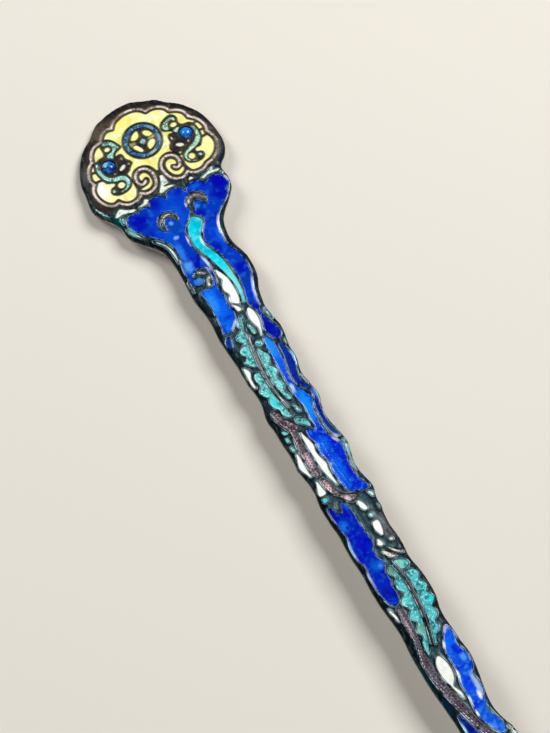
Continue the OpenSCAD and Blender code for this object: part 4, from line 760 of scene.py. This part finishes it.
# look: places as x, s, half width across, half width along, colour, share
PLACES = {
    "pale_yellow": [
        (-7.0, 11.0, 4.2, 4.2, (252, 249, 206), 0.6), (-9.0, 11.8, 1.0, 1.9, (250, 247, 255), 0.95),
        (5.2, 11.8, 1.2, 1.6, (236, 226, 116), 0.6), (-2.0, 2.8, 2.4, 1.0, (250, 238, 112), 0.7),
        (2.2, 3.8, 1.6, 1.0, (252, 251, 205), 0.6), (8.4, 12.4, 0.9, 1.3, (250, 250, 190), 0.6)],
    # The pale ovals at x 0.5, s 1.5 and at x -10.2, s 12.0 are a painted reflection and a painted highlight.
    "pink": [
        (-4.6, 3.6, 2.4, 1.6, (116, 98, 84), 0.8), (-2.0, 1.8, 2.2, 0.8, (118, 102, 82), 0.8),
        (-7.1, 5.4, 1.0, 1.1, (202, 192, 182), 0.7), (2.6, 2.4, 2.2, 1.1, (98, 82, 74), 0.7),
        (-9.8, 8.5, 0.8, 1.7, (148, 134, 128), 0.8), (-8.7, 14.4, 1.1, 0.8, (120, 102, 110), 0.9),
        (-10.2, 12.0, 0.6, 1.4, (238, 218, 208), 0.9), (9.0, 13.2, 1.6, 2.0, (82, 66, 66), 0.9),
        (0.5, 1.5, 0.7, 0.4, (222, 214, 198), 0.8), (2.6, 3.0, 0.4, 0.4, (222, 192, 192), 0.8),
        (7.0, 5.5, 1.1, 1.1, (226, 216, 206), 0.9), (8.8, 8.5, 0.8, 1.4, (226, 216, 206), 0.9),
        (-2.9, 3.1, 0.5, 0.5, (250, 240, 236), 0.8)],
    "mid_blue": [
        (-1.9, 9.2, 0.9, 1.6, (34, 84, 140), 0.7), (2.0, 5.4, 0.8, 0.9, (112, 160, 190), 0.8),
        (2.5, 8.2, 0.5, 1.3, (150, 184, 200), 0.7), (0.6, 9.7, 1.0, 0.5, (168, 190, 176), 0.9),
        (-1.9, 5.0, 0.7, 0.8, (36, 86, 124), 0.6)],
    # On the two drops: a painted highlight near the top of each, and painted shade below it.
    "azure": [
        (-6.8, 8.1, 0.6, 0.5, (140, 206, 250), 0.9), (-5.9, 9.4, 0.9, 0.8, (0, 28, 100), 0.8),
        (6.2, 8.9, 1.0, 0.9, (20, 132, 226), 0.8), (6.9, 9.8, 0.6, 0.5, (4, 60, 150), 0.7)],
    "royal_blue": [
        (-0.6, 19.4, 3.4, 3.6, (2, 76, 216), 0.6), (-4.2, 24.0, 1.6, 4.2, (4, 84, 214), 0.6),
        (2.6, 26.5, 1.5, 3.4, (0, 66, 214), 0.6), (6.9, 19.6, 1.7, 3.4, (0, 0, 166), 0.95),
        (-6.6, 19.0, 1.9, 1.9, (0, 0, 168), 0.95),
        (-3.3, 17.6, 1.1, 1.2, (0, 4, 168), 0.8), (0.8, 17.3, 1.4, 0.8, (0, 20, 184), 0.7),
        (3.3, 17.7, 1.2, 0.6, (4, 92, 226), 0.8), (-0.8, 20.6, 0.8, 2.0, (4, 80, 216), 0.7),
        (-2.3, 22.6, 1.0, 0.7, (0, 74, 146), 0.8), (-2.6, 21.4, 0.45, 0.45, (104, 166, 236), 0.9),
        (2.1, 20.8, 0.5, 0.5, (40, 130, 232), 0.9), (-2.95, 23.9, 0.5, 0.42, (116, 172, 236), 0.95),
        (-3.5, 26.4, 0.7, 2.0, (44, 124, 232), 0.8), (-2.6, 28.3, 0.4, 0.8, (0, 12, 192), 0.7),
        (-3.5, 28.9, 0.9, 1.3, (78, 156, 244), 0.9), (2.8, 26.6, 0.5, 1.8, (20, 100, 228), 0.7),
        (1.9, 28.6, 0.5, 1.2, (0, 2, 176), 0.8), (3.0, 32.6, 0.9, 0.9, (0, 10, 178), 0.8),
        (7.5, 20.3, 0.55, 0.5, (66, 116, 118), 0.9), (-2.6, 36.6, 2.0, 5.2, (4, 100, 240), 0.9),
        (-3.1, 35.6, 0.9, 2.4, (34, 142, 250), 0.85), (-3.2, 31.6, 0.9, 0.8, (66, 138, 214), 0.85),
        (-1.7, 34.8, 0.5, 1.2, (0, 48, 216), 0.6), (2.9, 34.6, 0.9, 0.8, (0, 58, 150), 0.7),
        (-2.2, 38.7, 0.9, 0.5, (0, 26, 190), 0.7), (-3.0, 40.2, 0.6, 0.7, (20, 116, 246), 0.8),
        (2.2, 42.9, 1.5, 2.4, (0, 2, 150), 0.95)],
    # The small pale ovals at s 61.8 and 65.0 are painted highlights.
    "lower_field": [
        (1.0, 46.0, 1.3, 3.6, (30, 138, 250), 0.95), (0.9, 49.0, 1.0, 2.6, (0, 88, 240), 0.8),
        (0.8, 52.6, 0.4, 0.9, (186, 226, 242), 0.9), (1.3, 55.8, 1.2, 3.6, (16, 138, 252), 0.95),
        (0.3, 62.2, 1.3, 1.6, (10, 108, 248), 0.8), (0.6, 66.4, 1.2, 3.4, (6, 106, 246), 0.85),
        (2.1, 66.5, 0.8, 4.0, (0, 16, 206), 0.7), (-0.2, 61.8, 0.3, 0.4, (140, 192, 250), 0.85),
        (0.1, 65.0, 0.3, 0.4, (120, 182, 246), 0.8)],
    "left_field": [
        (-3.3, 71.6, 0.5, 1.0, (0, 0, 142), 0.9), (-1.0, 71.2, 0.5, 0.9, (0, 98, 200), 0.8),
        (-2.7, 73.9, 0.8, 1.1, (18, 112, 232), 0.85), (-2.4, 74.2, 0.3, 0.4, (0, 30, 100), 0.9),
        (-1.6, 77.0, 1.3, 1.8, (0, 0, 186), 0.8), (-1.4, 80.7, 1.2, 1.1, (4, 94, 204), 0.85),
        (-1.0, 80.9, 0.4, 0.5, (64, 134, 232), 0.8), (-2.1, 84.8, 0.9, 1.2, (0, 6, 150), 0.7)],
    # The near-white oval at s 102.4 is a painted highlight.
    "right_field": [
        (1.6, 94.6, 1.1, 1.6, (8, 104, 250), 0.85), (2.2, 95.6, 0.7, 0.9, (0, 14, 200), 0.85),
        (2.6, 97.1, 0.6, 0.7, (86, 164, 244), 0.8), (1.4, 100.6, 0.7, 2.0, (0, 56, 236), 0.8),
        (2.4, 101.0, 0.5, 1.9, (176, 208, 230), 0.8), (2.0, 102.4, 0.35, 0.9, (244, 250, 255), 0.95),
        (2.1, 104.6, 0.5, 1.0, (52, 104, 128), 0.85), (1.2, 107.0, 0.9, 0.9, (92, 144, 226), 0.85),
        (2.5, 106.0, 0.4, 0.6, (24, 76, 180), 0.7)],
    "deep_blue": [(2.7, 60.8, 0.9, 1.1, (16, 62, 104), 0.9), (2.3, 57.0, 0.6, 2.2, (0, 10, 136), 0.7)],
    "cyan": [(1.4, 22.6, 0.8, 0.7, (104, 224, 226), 0.8), (1.0, 34.2, 1.3, 3.0, (126, 228, 222), 0.85),
             (1.0, 37.4, 0.5, 0.6, (70, 200, 208), 0.8)],
    "turquoise": [
        (-2.6, 53.2, 0.9, 1.2, (60, 222, 232), 0.8), (-0.2, 42.9, 0.5, 1.1, (160, 214, 190), 0.8),
        (-0.6, 51.2, 0.5, 0.9, (150, 240, 238), 0.7), (-3.3, 69.3, 0.7, 0.7, (16, 212, 232), 0.95)],
    "lower_leaf": [
        (2.9, 88.2, 0.5, 0.7, (0, 234, 246), 0.9), (-0.1, 82.3, 0.5, 0.6, (112, 152, 112), 0.9),
        (1.4, 82.1, 0.6, 0.7, (154, 220, 206), 0.8), (2.1, 82.4, 0.35, 0.5, (40, 130, 120), 0.8),
        (-0.6, 91.2, 0.8, 1.1, (124, 184, 166), 0.8), (-0.9, 87.0, 0.5, 0.8, (160, 232, 228), 0.7)],
    "green": [(-2.3, 71.0, 1.0, 1.2, (84, 156, 156), 0.9)],
    "left_slivers": [
        (-8.4, 17.9, 0.8, 1.2, (60, 192, 202), 0.8), (-4.7, 26.0, 1.0, 2.2, (214, 242, 228), 0.8),
        (-4.8, 31.6, 1.0, 2.0, (236, 240, 236), 0.95)],
    "right_slivers": [
        (3.0, 39.9, 0.5, 1.0, (0, 162, 184), 0.9), (3.0, 52.0, 0.8, 1.4, (248, 252, 248), 0.95),
        (2.7, 66.6, 0.5, 1.7, (226, 240, 226), 0.9), (2.8, 71.4, 0.6, 0.8, (216, 244, 240), 0.8)],
    "mauve": [
        (-2.4, 63.2, 0.45, 1.7, (222, 190, 210), 0.85), (-1.9, 67.8, 0.5, 1.2, (228, 196, 196), 0.85),
        (-0.4, 70.5, 0.6, 0.6, (238, 216, 216), 0.85), (1.3, 71.0, 0.7, 0.5, (72, 44, 62), 0.8)],
    # The pale oval at s 93.5 is a painted highlight.
    "lower_branch": [
        (-1.85, 89.8, 0.25, 2.2, (202, 164, 184), 0.7), (-2.4, 93.5, 0.3, 0.4, (192, 192, 216), 0.9),
        (-2.3, 95.6, 0.5, 1.2, (88, 58, 78), 0.8), (-1.2, 102.4, 0.5, 1.5, (80, 56, 72), 0.7)],
    "right_crescent": [
        (1.3, 19.6, 0.3, 0.6, (236, 226, 220), 0.9), (3.4, 19.6, 0.5, 0.7, (104, 80, 96), 0.8)],
    "brown_pink": [
        (-1.3, 54.0, 0.4, 1.3, (222, 222, 204), 0.8), (-1.0, 43.2, 0.4, 1.0, (196, 186, 206), 0.8)],
    "lower_midrib": [(0.6, 90.6, 0.6, 2.0, (4, 30, 34), 0.85)],
    "white": [(-4.0, 63.4, 0.5, 1.2, (236, 242, 252), 0.7), (0.5, 15.4, 1.4, 0.9, (236, 246, 238), 0.6)]}
MARKS = {
    "turquoise": ((0, 92, 98), 0.85), "lower_leaf": ((0, 88, 96), 0.85), "mauve": ((46, 28, 38), 0.9),
    "lower_branch": ((38, 28, 42), 0.85), "lower_field": ((0, 16, 124), 0.8)}
PITTED = {"royal_blue", "lower_field", "left_field", "mauve", "lower_branch"}
DARK_EDGED = {"pale_yellow", "mid_blue", "left_slivers", "lower_branch", "mauve", "left_crescent"}
GLINT_NEAR = 0.3
# Painted highlights on the walls: x, s, half width across, half width along, colour
GLINTS = [
    (3.7, 25.9, 0.9, 2.6, (226, 232, 250)), (3.3, 37.0, 0.9, 3.6, (172, 192, 240)),
    (-1.85, 25.0, 0.4, 1.2, (232, 232, 252)), (-1.0, 29.6, 0.6, 1.6, (204, 228, 250)),
    (-0.8, 36.6, 0.4, 0.9, (200, 206, 250)), (-1.9, 40.2, 1.1, 1.1, (168, 188, 224)),
    (0.0, 26.3, 0.4, 1.1, (206, 246, 252)), (0.6, 19.8, 0.4, 0.5, (200, 210, 240)),
    (8.2, 18.5, 0.5, 0.9, (206, 212, 232)), (3.4, 49.0, 0.6, 3.2, (150, 190, 222)),
    (3.5, 55.2, 0.5, 1.8, (110, 150, 190)), (2.5, 62.0, 0.7, 0.8, (205, 205, 232)),
    (-3.4, 77.2, 0.6, 1.9, (136, 176, 206)), (-3.1, 82.0, 0.6, 1.6, (150, 160, 192)),
    (2.2, 92.5, 0.9, 0.9, (176, 186, 232)), (1.1, 94.4, 0.5, 0.8, (226, 234, 248)),
    (0.7, 98.9, 0.4, 1.4, (230, 238, 250)), (0.6, 102.6, 0.4, 0.9, (214, 230, 246)),
    (0.5, 104.5, 0.3, 0.6, (240, 248, 252)), (-2.2, 105.6, 0.5, 1.3, (150, 200, 222)),
    (3.7, 108.8, 0.5, 0.7, (214, 230, 226)), (-8.3, 20.2, 0.7, 1.3, (124, 184, 184))]


def ovals_on(paint, colour, rows):
    """Mixes in one oval after the other: the mask of each, times its share, towards its colour."""
    for x, s, across, along_pin, tint, share in rows:
        colour = paint.mix(paint.patch(x, s, across, along_pin) * share, colour, on_screen(*tint))
    return colour


def glints_on(paint, colour, edge, pieces):
    """Mixes in the lights in the pieces' box. edge is 1 beside a wall and 0 away from it."""
    corners = np.concatenate([np.array(piece.bound_box)[:, :2] for piece in pieces]) / MM
    low, high = corners.min(axis=0) - GLINT_NEAR, corners.max(axis=0) + GLINT_NEAR
    middles = [(x - X_MIDDLE, along(s)) for x, s, *_ in GLINTS]
    here = [((low < middle) & (middle < high)).all() for middle in np.array(middles)]
    return ovals_on(paint, colour, [(*row, edge) for row, inside in zip(GLINTS, here) if inside])


def glass_paint(look, pieces):
    """The material of one glass: clouds, places, pits, the lines along the walls and the marks."""
    main, deep, pale, deep_share, pale_share, wide, line, line_share = GLASS[look]
    paint = Paint("glass_" + look)
    slow, quick = paint.clouds(wide * 1.3, 1), paint.clouds(wide * 0.5, 1.5, (31, 17, 5))
    colour = paint.mix(paint.between(slow, 0.46, 0.64) * deep_share, on_screen(*main), on_screen(*deep))
    colour = paint.mix(paint.between(quick, 0.5, 0.68) * pale_share, colour, on_screen(*pale))
    colour = ovals_on(paint, colour, PLACES.get(look, []))
    if look in PITTED:
        cell = paint.node("ShaderNodeTexVoronoi", None, {"Vector": paint.place, "Scale": 2.2}, "Distance")
        pit = paint.between(cell, 0.26, 0.14) * paint.between(paint.clouds(1.3, at=(3, 50, 0)), 0.42, 0.6)
        colour = paint.mix(pit * 0.55, colour, on_screen(*[0.35 * v for v in deep]))
    wall = paint.attribute("wall")
    # A broken pale line beside the walls: thin glass over bright silver, and a painted highlight too.
    thin = paint.between(wall, 0.25, 0.14) * paint.between(paint.clouds(0.55, at=(7, 7, 7)), 0.47, 0.6)
    colour = paint.mix(thin * line_share, colour, on_screen(*line))
    # Painted shade: the glass is darker right beside its walls, over a wider band for DARK_EDGED looks.
    edge_from, edge_to, edge_share = (0.21, 0.1, 0.9) if look in DARK_EDGED else (0.16, 0.08, 0.75)
    shade = paint.between(wall, edge_from, edge_to) * edge_share
    colour = paint.mix(shade, colour, on_screen(*[0.3 * v for v in deep]))
    # Painted highlights beside the walls, from the table of lights.
    colour = glints_on(paint, colour, paint.between(wall, 0.36, 0.16) * 0.9, pieces)
    if look in MARKS:
        ink, share = MARKS[look]
        colour = paint.mix(paint.attribute("marks") * share, colour, on_screen(*ink))
    grain = paint.clouds(0.4, 3, (2, 9, 4))
    bumps = paint.node("ShaderNodeBump", None, {
        "Strength": 0.35, "Distance": 0.03 * MM, "Height": grain + 0.6 * quick}, "Normal")
    paint.finish(pieces, Base_Color=colour, Roughness=0.05 + 0.16 * grain, IOR=1.52, Normal=bumps)
    return paint.material


by_look = {}
for node, piece in cells.items():
    by_look.setdefault(node if node in GLASS else slot_of[node], []).append(piece)
for look, pieces in by_look.items():
    made = glass_paint(look, pieces)
    print(made.name, "on", len(pieces), "pieces, nodes:", len(made.node_tree.nodes))

# %% [markdown]
# The silver was blackened on purpose, so that the glass looks brighter. On the crests of the walls
# the black has worn off in places, and the metal shows grey there; that grey is also a painted
# highlight along the crests, and the table of lights adds painted highlights on some walls. The
# walls in the head are brown, because thin tarnish is brown before it turns blue and black. The
# back, the plain end and the prongs were only touched by hair and hands, so they are a dull grey
# silver with darker clouds. The change from one to the other is a number on each point, worked out
# with the surface.

# %% The blackened silver
# x, s, half width across, half width along, colour, share
SILVER_PLACES = [
    (-1.6, 7.05, 0.7, 0.4, (176, 168, 96), 0.95), (1.4, 7.25, 0.7, 0.4, (186, 178, 118), 0.95),
    (-6.0, 2.4, 4.5, 1.8, (92, 80, 66), 0.7), (-10.6, 8.4, 0.9, 2.4, (60, 66, 64), 0.7),
    (10.3, 11.0, 0.8, 3.0, (66, 56, 54), 0.6), (2.2, 76.2, 1.2, 3.6, (84, 82, 88), 0.5),
    (-3.2, 97.6, 0.35, 3.6, (0, 58, 68), 0.9), (-2.6, 101.9, 0.4, 1.9, (8, 52, 88), 0.9),
    (-9.4, 17.6, 1.0, 1.6, (0, 96, 100), 0.7), (8.9, 17.6, 0.7, 1.2, (0, 84, 92), 0.7)]

paint = Paint("blackened_silver")
wall, rim, bare = (paint.attribute(name) for name in ("wall", "rim", "bare"))
slow, quick = paint.clouds(2.4, 3, (4, 4, 4)), paint.clouds(0.5, 3, (8, 1, 3))
streaks = paint.node("ShaderNodeTexNoise", None, {
    "Vector": paint.vector("MULTIPLY", paint.place, (3.2, 0.8, 1)), "Scale": 1.0, "Detail": 2.0}, "Fac")
down = paint.node("ShaderNodeSeparateXYZ", None, {"Vector": paint.place}, "Y")
blade = paint.between(down, along(15.0), along(17.0))
dark = paint.mix(paint.between(slow, 0.4, 0.7), on_screen(2, 18, 26), on_screen(16, 36, 46))
ground = paint.between(rim, 0.7, 1.2) * paint.between(wall, 0.16, 0.4)
dark = paint.mix(ground * 0.75, dark, on_screen(44, 68, 76))
dark = paint.mix(paint.between(streaks, 0.52, 0.7) * 0.55, dark, on_screen(84, 104, 110))
brown = paint.mix(paint.between(slow, 0.45, 0.6), on_screen(44, 34, 32), on_screen(60, 54, 36))
dark = paint.mix((1 - blade) * paint.between(rim, 0.5, 0.8) * 0.85, dark, brown)
dark = ovals_on(paint, dark, SILVER_PLACES)
# Lighter grey on the crests: worn silver, and a painted highlight along the crests too.
crest = paint.between(wall, 0.05, 0.1) * paint.between(wall, 0.24, 0.15)
crest = crest * paint.between(paint.clouds(1.3, 2, (5, 0, 2)), 0.4, 0.58)
crest = crest * (0.2 + 0.8 * blade)
dark = paint.mix(crest * 0.75, dark, on_screen(126, 154, 164))
# Painted highlights on the walls' crests, from the table of lights.
dark = glints_on(paint, dark, paint.between(wall, 0.28, 0.1) * 0.9, [silver])
tarnish = paint.between(slow + 0.35 * quick, 0.5, 0.85)
light = paint.mix(tarnish * 0.8, on_screen(196, 192, 182), on_screen(120, 108, 92))
colour = paint.mix(bare, dark, light)
scratches = paint.clouds(0.25, 4, (6, 2, 1))
bumps = paint.node("ShaderNodeBump", None, {
    "Strength": 0.4, "Distance": 0.02 * MM, "Height": scratches + quick}, "Normal")
rough = 0.46 - 0.16 * crest + 0.1 * quick
paint.finish([silver], Base_Color=colour, Roughness=rough, Metallic=0.9, Normal=bumps)
print("silver's nodes:", len(paint.tree.nodes))

# %% [markdown]
# The pin lies on a plain pale floor, as on a photographer's paper. The picture was taken from
# above and a little to the left of the pin's foot, close enough for the near end to look wider.
# The camera's distance and angles were worked out from the lobed head and the blade's edges.

# %% Floor and camera
FLOOR_SIZE = 1.6
CAMERA_TARGET = (0.7016 - X_MIDDLE, 39.5, 0.0)
CAMERA_DISTANCE = 250.8
CAMERA_TURN = math.radians(-28.5)
CAMERA_RISE = math.radians(72)

half = FLOOR_SIZE / MM / 2
floor_places = np.array([(-half, -half, 0), (half, -half, 0), (half, half, 0), (-half, half, 0)])
floor_mesh = bpy.data.meshes.new("paper_floor")
floor_mesh.from_pydata((floor_places * MM).tolist(), [], [(0, 1, 2, 3)])
floor = bpy.data.objects.new("paper_floor", floor_mesh)
bpy.context.scene.collection.objects.link(floor)


def from_angles(turn, rise):
    """Direction (sin turn cos rise, -cos turn cos rise, sin rise): turn 0 is the pin's foot side."""
    return Vector((math.sin(turn) * math.cos(rise), -math.cos(turn) * math.cos(rise), math.sin(rise)))


def aim(thing, place, target):
    """Puts a thing at a place and turns its own -Z to the target, with its top up."""
    thing.location = place
    thing.rotation_euler = (target - place).to_track_quat("-Z", "Y").to_euler()


paper = Paint("pale_paper")
paper.finish([floor], Base_Color=on_screen(222, 218, 210), Roughness=0.9)
target = Vector(CAMERA_TARGET) * MM
camera = bpy.data.objects.new("camera", bpy.data.cameras.new("camera"))
camera.data.lens = 85
camera.data.clip_start = 0.01
bpy.context.scene.collection.objects.link(camera)
aim(camera, target + from_angles(CAMERA_TURN, CAMERA_RISE) * CAMERA_DISTANCE * MM, target)
bpy.context.scene.camera = camera
print("camera at", [round(v / MM, 1) for v in camera.location], "mm")

# %% [markdown]
# Glass and silver show mostly what they mirror. The big soft panels stand low around the pin, so
# that flat glass mirrors the dark sky between them and keeps its colour, and only the rounded
# walls and climbing rims catch a line of light.

# %% Lights
# name, turn and rise in degrees, metres away, size in metres, power in watts, tint
LIGHTS = [
    ("window", 105, 48, 0.7, 0.36, 4.9, (1.0, 0.98, 0.95)),
    ("lamp", -150, 40, 0.7, 0.3, 2.3, (1.0, 0.97, 0.92)),
    ("fill", -30, 35, 0.8, 0.5, 1.2, (0.93, 0.96, 1.0))]
ROOM_TINT, ROOM_STRENGTH = (0.8, 0.92, 1.0, 1), 0.05


def panel(name, turn, rise, away, size, power, tint):
    """A square panel of light, turned to the pin."""
    data = bpy.data.lights.new(name, "AREA")
    data.size, data.energy, data.color = size, power, tint
    light = bpy.data.objects.new(name, data)
    bpy.context.scene.collection.objects.link(light)
    aim(light, target + from_angles(math.radians(turn), math.radians(rise)) * away, target)


for row in LIGHTS:
    panel(*row)
world = bpy.data.worlds.new("soft_room")
world.use_nodes = True
world.node_tree.nodes["Background"].inputs["Color"].default_value = ROOM_TINT
world.node_tree.nodes["Background"].inputs["Strength"].default_value = ROOM_STRENGTH
bpy.context.scene.world = world
bpy.context.scene.view_settings.view_transform = "Standard"
print("lights:", [name for name, *_ in LIGHTS])
